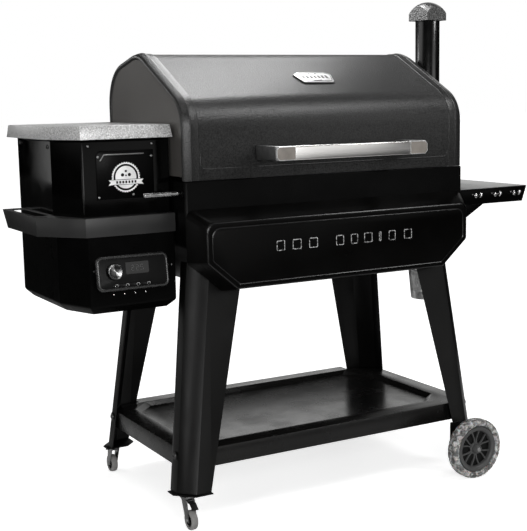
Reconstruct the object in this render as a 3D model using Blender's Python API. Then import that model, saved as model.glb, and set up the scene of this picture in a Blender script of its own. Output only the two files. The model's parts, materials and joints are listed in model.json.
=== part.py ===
"""Pellet smoker grill on a cart: barrel with a hinged lid, pellet hopper with its control
housing on the left, chimney, side shelf and grease bucket on the right.

Metres, +Z up, front towards -Y, hopper towards -X. Every sub-part is modelled in the barrel's
frame (x and y from the barrel's middle, z from the floor) and hangs on one empty, which moves
the finished grill so that the origin lies under the middle of its box."""
import bpy
import bmesh
from math import cos, pi, radians, sin, tan
from mathutils import Matrix, Vector

# ---------------------------------------------------------------- driving dimensions
GAP = 0.0003                 # clearance between pieces that touch
SHEET = 0.0025               # sheet metal of the barrel, lid, hopper and legs

BARREL_HX, BARREL_HY = 0.4315, 0.2405     # half width and half depth of barrel and lid
SEAM_Z = 0.8765              # lid meets barrel
SHOULDER_Z = 0.715           # barrel walls start to slope in
BARREL_Z = 0.585             # flat bottom of the barrel
BARREL_SLOPE = SHOULDER_Z - BARREL_Z

LID_FRONT_CORNER_Z = 1.0625  # corners of the lid's end profile, before rounding
LID_CREST = (0.028, 1.205)
LID_BACK_CORNER_Z = 1.155
LID_RADII = (0.10, 0.12, 0.12)
LID_RIM_INSET = 0.018        # rim round each end of the lid
LID_CAP_RECESS = 0.005
LID_BAND_X = (0.409, 0.389)  # the two steps beside each end
LID_SKIN = 0.0060            # depth of the inner face below the end bands

HINGE_Y, HINGE_Z, KNUCKLE_R = BARREL_HY + 0.0078, SEAM_Z, 0.0065
BARREL_KNUCKLES = ((-0.350, -0.2303), (-0.0697, 0.0697), (0.2303, 0.350))
LID_KNUCKLES = ((-0.2297, -0.0703), (0.0703, 0.2297))
OTHER_KNUCKLES = {
    "barrel_hinge_leaf": ((-0.2300, -0.0700), (0.0700, 0.2300)),
    "lid_hinge_leaf": ((-0.37, -0.2300), (-0.0700, 0.0700), (0.2300, 0.37)),
}

GRATE_Z = 0.858              # underside of the cooking grates
BROILER_Y, BROILER_Z = -0.222, 0.847     # axis of the broiler's pull rod
DRAIN_X, DRAIN_END, DRAIN_Z, DRAIN_R = 0.270, 0.464, 0.574, 0.008

HANDLE_HX, HANDLE_Y, HANDLE_Z = 0.2305, -0.345, 0.9392
HANDLE_DEPTH, HANDLE_HEIGHT, HANDLE_END = 0.020, 0.0355, 0.055

PANEL_Y = -0.299             # front plane of the barrel's front panel
PANEL_HX, PANEL_TOP, PANEL_BOTTOM = 0.402, 0.7765, 0.6078
PANEL_CHAMFER_X, PANEL_CHAMFER_Z = 0.3207, 0.678
PANEL_FLARE = 0.029          # how far the panel widens towards the barrel

LEG_TOP_Z, LEG_FOOT_Z, LEG_REF_Z = 0.668, 0.0885, 0.61
LEG_FOOT = ((0.396, 0.272), (0.4365, 0.272), (0.475, 0.2325), (0.4765, 0.198))
LEG_REF = ((0.2773, 0.2319), (0.3695, 0.2319), (0.4125, 0.1889), (0.414, 0.157))
LEG_RIGHT_FOOT_Z = 0.1175

SHELF_TOP, SHELF_BOTTOM = 0.1975, 0.1484
SHELF_HX, SHELF_HY, SHELF_CHAMFER = 0.459, 0.2515, 0.040
SHELF_RECESS, SHELF_RIM = 0.011, 0.055
SHELF_BACK, SHELF_BACK_HX = 0.290, 0.366     # ledge behind the shelf, between the rear legs

CASTER_X, CASTER_Y, CASTER_R, CASTER_W = 0.452, 0.250, 0.025, 0.018
CASTER_TRAIL = 0.016         # how far the wheel's axle stands outside the swivel
WHEEL_X, WHEEL_R, WHEEL_Y, WHEEL_W = 0.401, 0.085, 0.3405, 0.038
AXLE_R, AXLE_SHOULDER_R = 0.006, 0.0095
LUG_Y = (0.2660, 0.2705)                     # inner and outer face of the tabs that hold the axles

HOPPER_LEFT, HOPPER_FRONT, HOPPER_BACK, HOPPER_RIGHT = -0.705, -0.165, 0.2105, -0.4355
HOPPER_CHAMFER = (0.040, 0.110)          # x and y run of the front left chamfer
HOPPER_TOP = 0.9835
APRON_TOP, APRON_BOTTOM = 0.797, 0.751
APRON_LEFT, APRON_FRONT = -0.757, -0.190
APRON_CHAMFER = (0.086, 0.110)
HOUSING_FRONT, HOUSING_BOTTOM, HOUSING_BEVEL = -0.185, 0.559, 0.020
HOPPER_LID_TOP, HOPPER_LID_BOTTOM = 1.0165, 0.9845
HOPPER_LID_OVERHANG, HOPPER_LID_FLARE = 0.022, 0.005
HOPPER_HINGE = (HOPPER_BACK + 0.012, 0.990)
BIN_MOUTH = (-0.575, 0.02)               # where the bin empties into the auger tube
FUNNEL_TOP = 0.880                       # the bin's walls turn into its sloped floor

PANEL_CENTRE = Vector((-0.558, -0.1925, 0.660))
PANEL_SIZE = (0.190, 0.087)
PANEL_TILT = radians(8)

AUGER_Z, AUGER_Y, AUGER_R = 0.700, 0.02, 0.026
AUGER_LEFT, AUGER_RIGHT = -0.640, -0.070
CHIMNEY_X, CHIMNEY_Y, CHIMNEY_R = 0.5045, 0.013, 0.036
CHIMNEY_TOP, CAP_BOTTOM, CAP_TOP, CAP_SIDE = 1.298, 1.292, 1.347, 0.078
CAP_TURN = radians(6.5)
FAN_CENTRE = (-0.600, 0.115, 0.640)

SIDE_TOP_Z, SIDE_RIGHT, SIDE_Y0, SIDE_Y1 = 0.8045, 0.705, -0.205, 0.205
SIDE_SKIRT = 0.046
BUCKET_X, BUCKET_Y, BUCKET_TOP, BUCKET_H = 0.492, 0.0, 0.550, 0.092
BUCKET_R0, BUCKET_R1 = 0.046, 0.056
BAIL_TOP = 0.612             # the bail hangs, and swings, from here

ROUND = 24                   # sides of ordinary round pieces
BIG_ROUND = 28               # sides of wheels and the bucket


# ---------------------------------------------------------------- small tools
def clear_scene():
    for obj in list(bpy.data.objects):
        bpy.data.objects.remove(obj, do_unlink=True)


def material(name, colour, roughness, metallic):
    mat = bpy.data.materials.get(name) or bpy.data.materials.new(name)
    mat.use_nodes = True
    shader = mat.node_tree.nodes["Principled BSDF"]
    shader.inputs["Base Color"].default_value = (*colour, 1)
    shader.inputs["Roughness"].default_value = roughness
    shader.inputs["Metallic"].default_value = metallic
    return mat


FINISHES = {
    "black_enamel": ((0.012, 0.012, 0.013), 0.28, 0.3),
    "lid_hammertone": ((0.060, 0.062, 0.062), 0.42, 0.6),
    "silver_hammertone": ((0.42, 0.43, 0.43), 0.38, 0.8),
    "brushed_steel": ((0.56, 0.55, 0.52), 0.30, 1.0),
    "zinc": ((0.48, 0.48, 0.47), 0.35, 1.0),
    "cast_iron": ((0.02, 0.02, 0.02), 0.6, 0.4),
    "grey_rubber": ((0.30, 0.30, 0.29), 0.7, 0.0),
    "black_plastic": ((0.015, 0.015, 0.016), 0.45, 0.0),
}


def place(name, mesh, finish, group=None, origin=(0, 0, 0), smooth=None):
    """Link a mesh made in the barrel's frame, with its object's origin moved to a given point."""
    mesh.transform(Matrix.Translation(-Vector(origin)))
    mesh.name = name
    if smooth is not None:
        mesh.shade_smooth()
        mesh.set_sharp_from_angle(angle=radians(smooth))
    obj = bpy.data.objects.new(name, mesh)
    bpy.context.collection.objects.link(obj)
    obj.location = origin
    obj.parent = group
    mesh.materials.append(material(finish, *FINISHES[finish]))
    return obj


def mesh_from(bm):
    bmesh.ops.remove_doubles(bm, verts=bm.verts, dist=1e-7)
    bmesh.ops.recalc_face_normals(bm, faces=bm.faces)
    mesh = bpy.data.meshes.new("mesh")
    bm.to_mesh(mesh)
    bm.free()
    return mesh


def loft(rings, closed=False):
    """Skin a list of rings with equal numbers of points: capped, or closed into a loop."""
    bm = bmesh.new()
    loops = [[bm.verts.new(point) for point in ring] for ring in rings]
    pairs = list(zip(loops, loops[1:] + loops[:1] if closed else loops[1:]))
    for low, high in pairs:
        for i in range(len(low)):
            j = (i + 1) % len(low)
            bm.faces.new((low[i], low[j], high[j], high[i]))
    if not closed:
        bm.faces.new(loops[0])
        bm.faces.new(loops[-1])
    return mesh_from(bm)


def lift(outline, axis, height):
    """Put a 2D outline into space across an axis: X takes (y, z), Y takes (x, z), Z takes (x, y)."""
    if axis == "X":
        return [(height, a, b) for a, b in outline]
    if axis == "Y":
        return [(a, height, b) for a, b in outline]
    return [(a, b, height) for a, b in outline]


def prism(outline, axis, low, high):
    return loft([lift(outline, axis, low), lift(outline, axis, high)])


def box(low, high):
    outline = [(low[0], low[1]), (high[0], low[1]), (high[0], high[1]), (low[0], high[1])]
    return prism(outline, "Z", low[2], high[2])


def circle(centre, radius, sides=ROUND, turn=0.0):
    return [(centre[0] + radius * cos(turn + 2 * pi * i / sides),
             centre[1] + radius * sin(turn + 2 * pi * i / sides)) for i in range(sides)]


def rod(centre, radius, axis, low, high, sides=ROUND):
    return prism(circle(centre, radius, sides), axis, low, high)


def turned(profile, axis, centre, sides=ROUND, solid=True):
    """Turn (radius, height) points about an axis; an open profile is capped, a ring is closed."""
    rings = [lift(circle(centre, radius, sides), axis, height) for radius, height in profile]
    return loft(rings, closed=not solid)


def sweep(points, radius, sides=8):
    """Round bar along a path in space."""
    path = [Vector(point) for point in points]
    rings = []
    side = None
    for i, point in enumerate(path):
        ahead = (path[min(i + 1, len(path) - 1)] - path[max(i - 1, 0)]).normalized()
        if side is None:
            side = ahead.orthogonal().normalized()
        side = (side - ahead * side.dot(ahead)).normalized()
        other = ahead.cross(side)
        rings.append([point + radius * (side * cos(2 * pi * k / sides) + other * sin(2 * pi * k / sides))
                      for k in range(sides)])
    return loft(rings)


def rounded(corners, radii, steps=5):
    """Open path through its corners with the inner ones rounded."""
    path = [Vector(corners[0])]
    for before, corner, after, radius in zip(corners, corners[1:], corners[2:], radii):
        corner = Vector(corner)
        to_before = (Vector(before) - corner).normalized()
        to_after = (Vector(after) - corner).normalized()
        half = to_before.angle(to_after) / 2
        middle = corner + (to_before + to_after).normalized() * radius / sin(half)
        start = corner + to_before * radius / tan(half) - middle
        end = corner + to_after * radius / tan(half) - middle
        for k in range(steps + 1):
            arm = start.slerp(end, k / steps).normalized()
            path.append(middle + arm * radius)
    path.append(Vector(corners[-1]))
    return [(point.x, point.y) for point in path]


def offset(path, distance):
    """Move an open path to its right by a distance, with mitred corners."""
    points = [Vector(point) for point in path]
    normals = []
    for a, b in zip(points, points[1:]):
        along = (b - a).normalized()
        normals.append(Vector((along.y, -along.x)))
    moved = []
    for i, point in enumerate(points):
        before, after = normals[max(i - 1, 0)], normals[min(i, len(normals) - 1)]
        mitre = (before + after).normalized()
        moved.append(point + mitre * distance / mitre.dot(before))
    return [(point.x, point.y) for point in moved]


def strip(path, thickness):
    """Closed outline of a folded sheet that follows an open path."""
    return list(path) + list(reversed(offset(path, thickness)))


def chamfered(x0, y0, x1, y1, cut):
    """Rectangle with its four corners cut."""
    return [(x0 + cut, y0), (x1 - cut, y0), (x1, y0 + cut), (x1, y1 - cut),
            (x1 - cut, y1), (x0 + cut, y1), (x0, y1 - cut), (x0, y0 + cut)]


def combine(obj, mesh, operation):
    """Boolean with a hidden guide object."""
    tool = bpy.data.objects.new(obj.name + "_" + operation.lower(), mesh)
    bpy.context.collection.objects.link(tool)
    tool.parent = obj.parent
    tool.hide_render = True
    tool.display_type = "WIRE"
    modifier = obj.modifiers.new(operation.title(), "BOOLEAN")
    modifier.operation = operation
    modifier.solver = "EXACT"
    modifier.object = tool


def cut(obj, mesh):
    combine(obj, mesh, "DIFFERENCE")


def join(obj, mesh):
    combine(obj, mesh, "UNION")


def lattice(xs, ys, z, thickness, is_hole):
    """Flat plate over a grid of lines, with the cells that is_hole(i, j) names left out."""
    bm = bmesh.new()
    grid = {(i, j, k): bm.verts.new((x, y, z + k * thickness))
            for i, x in enumerate(xs) for j, y in enumerate(ys) for k in (0, 1)}
    cells = {(i, j) for i in range(len(xs) - 1) for j in range(len(ys) - 1) if not is_hole(i, j)}
    for i, j in cells:
        corners = ((i, j), (i + 1, j), (i + 1, j + 1), (i, j + 1))
        bm.faces.new([grid[(*corner, 1)] for corner in corners])
        bm.faces.new([grid[(*corner, 0)] for corner in reversed(corners)])
        for (a, b), beside in zip(zip(corners, corners[1:] + corners[:1]),
                                  ((i, j - 1), (i + 1, j), (i, j + 1), (i - 1, j))):
            if beside not in cells:
                bm.faces.new([grid[(*a, 0)], grid[(*b, 0)], grid[(*b, 1)], grid[(*a, 1)]])
    loose = [vert for vert in bm.verts if not vert.link_faces]
    bmesh.ops.delete(bm, geom=loose, context="VERTS")
    return mesh_from(bm)


def bar_lines(start, end, bars, width):
    """Lines of a grid whose odd cells are bars of a given width and whose even cells are gaps."""
    pitch = (end - start - width) / (bars - 1)
    return [value for i in range(bars) for value in (start + i * pitch, start + i * pitch + width)]


# ---------------------------------------------------------------- barrel and lid
def barrel_plan(inset):
    x, y = BARREL_HX - inset, BARREL_HY - inset
    return [(-x, -y), (x, -y), (x, y), (-x, y)]


def make_barrel(group):
    rim = SEAM_Z - 0.0008
    slope_in = SHEET * tan(pi / 8)
    rings = [lift(barrel_plan(BARREL_SLOPE), "Z", BARREL_Z),
             lift(barrel_plan(0), "Z", SHOULDER_Z),
             lift(barrel_plan(0), "Z", rim),
             lift(barrel_plan(SHEET), "Z", rim),
             lift(barrel_plan(SHEET), "Z", SHOULDER_Z + slope_in),
             lift(barrel_plan(BARREL_SLOPE + slope_in), "Z", BARREL_Z + SHEET)]
    barrel = place("barrel_body", loft(rings), "black_enamel", group)
    cut(barrel, rod((AUGER_Y, AUGER_Z), AUGER_R + 0.001, "X", -0.45, -0.32))
    cut(barrel, rod((BROILER_Y, BROILER_Z), 0.006, "X", -0.45, -0.41, 12))
    cut(barrel, rod((CHIMNEY_Y, 0.845), 0.022, "X", 0.41, 0.45, 16))
    cut(barrel, rod((DRAIN_X, 0.0), DRAIN_R + GAP, "Z", BARREL_Z - 0.01, BARREL_Z + 0.01, 16))
    return barrel


def panel_outline(grow, drop=0.0):
    """Front panel's outline from its upper left corner round its lower corners."""
    x, top, bottom = PANEL_HX + grow, PANEL_TOP + grow, PANEL_BOTTOM - drop
    return [(-x, top), (-x, PANEL_CHAMFER_Z - drop * 0.4), (-PANEL_CHAMFER_X - grow * 0.4, bottom),
            (PANEL_CHAMFER_X + grow * 0.4, bottom), (x, PANEL_CHAMFER_Z - drop * 0.4), (x, top)]


def make_front_panel(group):
    """Dished sheet on the front of the barrel, open towards it."""
    back = -BARREL_HY - GAP
    skin = 0.002
    rings = [lift(panel_outline(0), "Y", PANEL_Y),
             lift(panel_outline(PANEL_FLARE, 0.012), "Y", back),
             lift(panel_outline(PANEL_FLARE - skin, 0.012 - skin), "Y", back),
             lift(panel_outline(-skin, -skin), "Y", PANEL_Y + skin)]
    place("front_panel", loft(rings), "black_enamel", group)


def lid_profile(inset, foot=0.0):
    corners = [(-BARREL_HY, SEAM_Z + foot), (-BARREL_HY, LID_FRONT_CORNER_Z), LID_CREST,
               (BARREL_HY, LID_BACK_CORNER_Z), (BARREL_HY, SEAM_Z + foot)]
    return offset(rounded(corners, LID_RADII), inset)


def make_lid(group):
    """Lid sheet with stepped bands and a rounded rim at each end, open below."""
    foot = 0.010
    half = [(BARREL_HX - LID_CAP_RECESS, LID_RIM_INSET, foot),
            (BARREL_HX, LID_RIM_INSET - 0.002, foot - 0.002), (BARREL_HX, 0.0085, 0.0005),
            (BARREL_HX - 0.002, 0.0055, 0), (LID_BAND_X[0] + 0.003, 0.0, 0),
            (LID_BAND_X[0], 0.0, 0), (LID_BAND_X[0] - 0.002, 0.0018, 0),
            (LID_BAND_X[1], 0.0018, 0), (LID_BAND_X[1] - 0.002, 0.0035, 0)]
    stations = [(-x, inset, low) for x, inset, low in half]
    stations += [(x, inset, low) for x, inset, low in reversed(half)]
    rings = [lift(lid_profile(inset, low), "X", x) for x, inset, low in stations]
    origin = (0, HINGE_Y, HINGE_Z)
    lid = place("lid_shell", loft(rings), "lid_hammertone", group, origin, smooth=32)
    inner = [(y, z) for y, z in lid_profile(LID_SKIN)]
    inner[0], inner[-1] = (inner[0][0], SEAM_Z - 0.01), (inner[-1][0], SEAM_Z - 0.01)
    reach = BARREL_HX - LID_CAP_RECESS - SHEET
    cut(lid, prism(inner, "X", -reach, reach))
    return lid


def make_handle(group):
    origin = (0, HINGE_Y, HINGE_Z)
    top, bottom = HANDLE_Z + HANDLE_HEIGHT / 2, HANDLE_Z - HANDLE_HEIGHT / 2
    back = HANDLE_Y + HANDLE_DEPTH
    reach = HANDLE_HX - HANDLE_END - GAP
    bevel = 0.002
    face = [(HANDLE_Y + bevel, bottom), (back - bevel, bottom), (back, bottom + bevel), (back, top - bevel),
            (back - bevel, top), (HANDLE_Y + bevel, top), (HANDLE_Y, top - bevel), (HANDLE_Y, bottom + bevel)]
    place("lid_handle_bar", prism(face, "X", -reach, reach), "brushed_steel", group, origin)
    for name, side in (("handle_bracket_left", -1), ("handle_bracket_right", 1)):
        inner, outer = HANDLE_HX - HANDLE_END, HANDLE_HX
        root = -BARREL_HY - GAP
        plan = [(inner, HANDLE_Y), (outer - 0.005, HANDLE_Y), (outer, HANDLE_Y + 0.005), (outer, root),
                (outer - 0.030, root), (outer - 0.030, back), (inner, back)]
        plan = [(side * x, y) for x, y in plan]
        place(name, prism(plan, "Z", bottom, top), "lid_hammertone", group, origin)


def make_lid_hinge(group):
    """Leaf on the barrel, leaf on the lid, and the pin that both turn on."""
    axis = (HINGE_Y, HINGE_Z)
    wall = BARREL_HY + GAP
    thick = 0.002
    origin = (0, HINGE_Y, HINGE_Z)

    def leaf(name, low, high, knuckles, where):
        plate = prism([(wall, low), (wall + thick, low), (wall + thick, high), (wall, high)], "X", -0.36, 0.36)
        obj = place(name, plate, "black_enamel", group, where)
        for x0, x1 in knuckles:
            join(obj, rod(axis, KNUCKLE_R, "X", x0, x1, 16))
        cut(obj, rod(axis, 0.0032, "X", -0.4, 0.4, 16))
        for x0, x1 in OTHER_KNUCKLES[name]:
            cut(obj, rod(axis, KNUCKLE_R + 0.0005, "X", x0, x1, 16))
        return obj

    leaf("barrel_hinge_leaf", SEAM_Z - 0.040, HINGE_Z - 0.001, BARREL_KNUCKLES, (0, 0, 0))
    leaf("lid_hinge_leaf", HINGE_Z + 0.001, SEAM_Z + 0.040, LID_KNUCKLES, origin)
    place("lid_hinge_pin", rod(axis, 0.003, "X", -0.356, 0.356, 12), "zinc", group, smooth=40)


# ---------------------------------------------------------------- inside the barrel
def make_grates(group):
    x1, y1 = BARREL_HX - SHEET - 0.003, BARREL_HY - SHEET - 0.003
    for name, low, high in (("cooking_grate_left", -x1, -0.0015), ("cooking_grate_right", 0.0015, x1)):
        xs = bar_lines(low, high, 12, 0.010)
        ys = [-y1, -y1 + 0.012, -0.006, 0.006, y1 - 0.012, y1]
        plate = lattice(xs, ys, GRATE_Z, 0.008, lambda i, j: i % 2 == 1 and j % 2 == 1)
        place(name, plate, "cast_iron", group)
    xs = bar_lines(-0.395, 0.395, 12, 0.006)
    ys = [0.045, 0.053, 0.205, 0.213]
    rack = lattice(xs, ys, 0.985, 0.005, lambda i, j: i % 2 == 1 and j % 2 == 1)
    rack = place("upper_rack", rack, "brushed_steel", group)
    for x in (-0.392, 0.392):
        join(rack, box((x - 0.0015, 0.045, GRATE_Z + 0.008 + GAP), (x + 0.0015, 0.213, 0.988)))
    return rack


def make_fire_parts(group):
    """Heat deflector with its sliding broiler plate and pull rod, fire pot and igniter."""
    ridge, edge, thick = 0.795, 0.760, 0.002
    path = [(-0.205, edge), (-0.11, ridge), (0.11, ridge), (0.205, edge)]
    deflector = place("heat_deflector", prism(strip(path, thick), "X", -0.405, 0.405), "cast_iron", group)
    plate = [(-0.085, ridge + GAP), (0.085, ridge + GAP), (0.085, ridge + thick), (-0.085, ridge + thick)]
    slider = place("broiler_slider", prism(plate, "X", -0.27, 0.13), "cast_iron", group)
    for i in range(4):
        x = -0.235 + i * 0.06
        window = box((x, -0.07, ridge - 0.01), (x + 0.025, 0.07, ridge + 0.01))
        cut(deflector, window)
        shifted = box((x + 0.03, -0.065, ridge - 0.01), (x + 0.05, 0.065, ridge + 0.01))
        cut(slider, shifted)
    grip_x = -0.530
    hand = turned([(0.0035, grip_x - 0.004), (0.0062, grip_x), (0.0062, -0.4405), (0.0035, -0.4385),
                   (0.0035, -0.2685), (0.0035, -0.268)], "X", (BROILER_Y, BROILER_Z), 12)
    handle = place("broiler_rod", hand, "brushed_steel", group, smooth=40)
    join(handle, box((-0.272, -0.2255, 0.8), (-0.266, -0.2185, 0.8505)))
    join(handle, box((-0.272, -0.2255, ridge + thick + GAP), (-0.266, -0.06, 0.8055)))
    pot = [(0.052, BARREL_Z + SHEET + GAP), (0.062, BARREL_Z + 0.085), (0.059, BARREL_Z + 0.085),
           (0.049, BARREL_Z + SHEET + 0.004)]
    pot = place("fire_pot", turned(pot, "Z", (0, AUGER_Y)), "cast_iron", group, smooth=40)
    join(pot, rod((AUGER_Y - 0.045, 0.640), 0.004, "X", -0.31, -0.030, 10))


def make_drain(group):
    """Bent tube from the barrel's floor to just above the grease bucket."""
    bend = [(DRAIN_X, 0.0, DRAIN_Z + 0.007), (DRAIN_X + 0.003, 0.0, DRAIN_Z + 0.002), (DRAIN_X + 0.010, 0.0, DRAIN_Z)]
    outer = [(DRAIN_X, 0.0, BARREL_Z + SHEET), *bend, (DRAIN_END, 0.0, DRAIN_Z)]
    inner = [(DRAIN_X, 0.0, BARREL_Z + 0.010), *bend, (DRAIN_END + 0.010, 0.0, DRAIN_Z)]
    spout = place("drain_spout", sweep(outer, DRAIN_R, 16), "zinc", group, smooth=40)
    cut(spout, sweep(inner, DRAIN_R - 0.0015, 16))


# ---------------------------------------------------------------- cart
def leg_ring(z, sx, sy, thickness=0.0):
    """Section of a leg at a height: front face, chamfer and side flange."""
    t = (z - LEG_FOOT_Z) / (LEG_REF_Z - LEG_FOOT_Z)
    path = [(foot[0] + (ref[0] - foot[0]) * t, foot[1] + (ref[1] - foot[1]) * t)
            for foot, ref in zip(LEG_FOOT, LEG_REF)]
    ring = path + list(reversed(offset(path, thickness)))
    return [(sx * x, sy * y, z) for x, y in ring]


def make_legs(group):
    for end, sy in (("front", -1), ("rear", 1)):
        for side, sx in (("left", -1), ("right", 1)):
            foot = LEG_FOOT_Z if side == "left" else LEG_RIGHT_FOOT_Z
            rings = [leg_ring(z, sx, sy, SHEET) for z in (foot, LEG_TOP_Z)]
            leg = place(f"{end}_{side}_leg", loft(rings), "black_enamel", group)
            if side == "left":
                add_foot_plate(leg, sx, sy)
            else:
                cut(leg, rod((sx * WHEEL_X, 0.1250), AXLE_R + 0.0004, "Y", sy * 0.2, sy * 0.3, 16))
                add_axle_lug(leg, sx, sy)


def add_foot_plate(leg, sx, sy):
    """Flared plate welded under a leg, which the caster bolts to."""
    outer = [(0.396, 0.283), (0.4445, 0.283), (0.488, 0.238), (0.488, 0.205), (0.425, 0.205), (0.396, 0.234)]
    outer = [(sx * x, sy * y) for x, y in outer]
    join(leg, prism(outer, "Z", LEG_FOOT_Z - 0.002, LEG_FOOT_Z + 0.001))


def add_axle_lug(leg, sx, sy):
    """Tab below a leg that carries the wheel's stub axle."""
    face = [(0.374, 0.145), (0.374, 0.079), (0.390, 0.068), (0.412, 0.068), (0.428, 0.079), (0.428, 0.145)]
    plate = prism([(sx * x, z) for x, z in face], "Y", sy * LUG_Y[0], sy * LUG_Y[1])
    join(leg, plate)
    cut(leg, rod((sx * WHEEL_X, WHEEL_R), AXLE_R + 0.0004, "Y", sy * 0.25, sy * 0.29, 16))


def make_bottom_shelf(group):
    """Folded tray with cut corners, a stamped recess and a ledge between the rear legs."""
    wall, slope, back_rim = 0.002, 0.012, 0.006

    def plan(inset, cut_size):
        return chamfered(-SHELF_HX + inset, -SHELF_HY + inset, SHELF_HX - inset, SHELF_HY - inset, cut_size)

    def recess(inset):
        return chamfered(-SHELF_HX + SHELF_RIM + inset, -SHELF_HY + SHELF_RIM + inset,
                         SHELF_HX - SHELF_RIM - inset, SHELF_HY - back_rim - inset, SHELF_RIM)

    rim = lift(plan(wall, SHELF_CHAMFER - 0.001), "Z", SHELF_BOTTOM)
    upper = [lift(plan(0, SHELF_CHAMFER), "Z", SHELF_BOTTOM), lift(plan(0, SHELF_CHAMFER), "Z", SHELF_TOP),
             lift(recess(0), "Z", SHELF_TOP), lift(recess(slope), "Z", SHELF_TOP - SHELF_RECESS)]
    lower = [lift(plan(wall, SHELF_CHAMFER - 0.001), "Z", SHELF_TOP - wall),
             lift(recess(-0.001), "Z", SHELF_TOP - wall),
             lift(recess(slope - 0.001), "Z", SHELF_TOP - SHELF_RECESS - wall)]
    shelf = place("bottom_shelf", tray(upper, lower, rim), "black_enamel", group)
    seat = SHELF_HY - wall
    ledge = [(seat, SHELF_TOP - wall), (SHELF_BACK - wall, SHELF_TOP - wall), (SHELF_BACK - wall, SHELF_BOTTOM),
             (SHELF_BACK, SHELF_BOTTOM), (SHELF_BACK, SHELF_TOP), (seat, SHELF_TOP)]
    join(shelf, prism(ledge, "X", -SHELF_BACK_HX, SHELF_BACK_HX))


def tray(upper, lower, rim):
    """Thin sheet: upper rings from the outer lower edge inwards, lower rings from the wall inwards."""
    bm = bmesh.new()
    loops = [[bm.verts.new(point) for point in ring] for ring in [*reversed(lower), rim, *upper]]
    for low, high in zip(loops, loops[1:]):
        for i in range(len(low)):
            j = (i + 1) % len(low)
            bm.faces.new((low[i], low[j], high[j], high[i]))
    bm.faces.new(loops[0])
    bm.faces.new(loops[-1])
    return mesh_from(bm)


def make_casters(group):
    for end, sy in (("front", -1), ("rear", 1)):
        x, y = -CASTER_X, sy * CASTER_Y
        trail = sy * CASTER_TRAIL
        top = LEG_FOOT_Z - 0.0025
        plate = turned([(0.021, top), (0.021, top - 0.003), (0.017, top - 0.009), (0.012, top - 0.012)],
                       "Z", (x, y))
        fork = place(f"{end}_caster_fork", plate, "zinc", group, (x, y, LEG_FOOT_Z))
        axle_y = y + trail
        wing = [(-0.016, top - 0.010), (0.016, top - 0.010), (trail + 0.009, CASTER_R - 0.004),
                (trail - 0.009, CASTER_R - 0.004)]
        for side in (-1, 1):
            inner = CASTER_W / 2 + 0.0008
            x0, x1 = sorted((x + side * inner, x + side * (inner + 0.002)))
            join(fork, prism([(y + a, b) for a, b in wing], "X", x0, x1))
        bridge = box((x - CASTER_W / 2 - 0.0028, y - 0.015, top - 0.0145),
                     (x + CASTER_W / 2 + 0.0028, y + 0.015, top - 0.0105))
        join(fork, bridge)
        join(fork, rod((axle_y, CASTER_R), 0.0035, "X", x - 0.0115, x + 0.0115, 12))
        tyre = [(0.004, -CASTER_W / 2), (CASTER_R - 0.003, -CASTER_W / 2), (CASTER_R, -CASTER_W / 2 + 0.003),
                (CASTER_R, CASTER_W / 2 - 0.003), (CASTER_R - 0.003, CASTER_W / 2), (0.004, CASTER_W / 2)]
        wheel = turned([(r, x + h) for r, h in tyre], "X", (axle_y, CASTER_R), ROUND, solid=False)
        place(f"{end}_caster_wheel", wheel, "grey_rubber", group, (x, axle_y, CASTER_R), smooth=40)
        make_brake(group, end, x, y, sy, top)


def make_brake(group, end, x, y, sy, top):
    """Pressed steel lever that tips over the wheel."""
    pivot = (y + sy * 0.017, top - 0.0150)
    path = [(pivot[0] - sy * 0.0014, pivot[1] + 0.0012), (pivot[0] + sy * 0.010, pivot[1] + 0.001),
            (pivot[0] + sy * 0.026, pivot[1] - 0.012)]
    outline = strip(path, 0.002 * sy)
    place(f"{end}_caster_brake", prism(outline, "X", x - 0.009, x + 0.009), "black_plastic", group,
          (x, pivot[0], pivot[1]))


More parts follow.
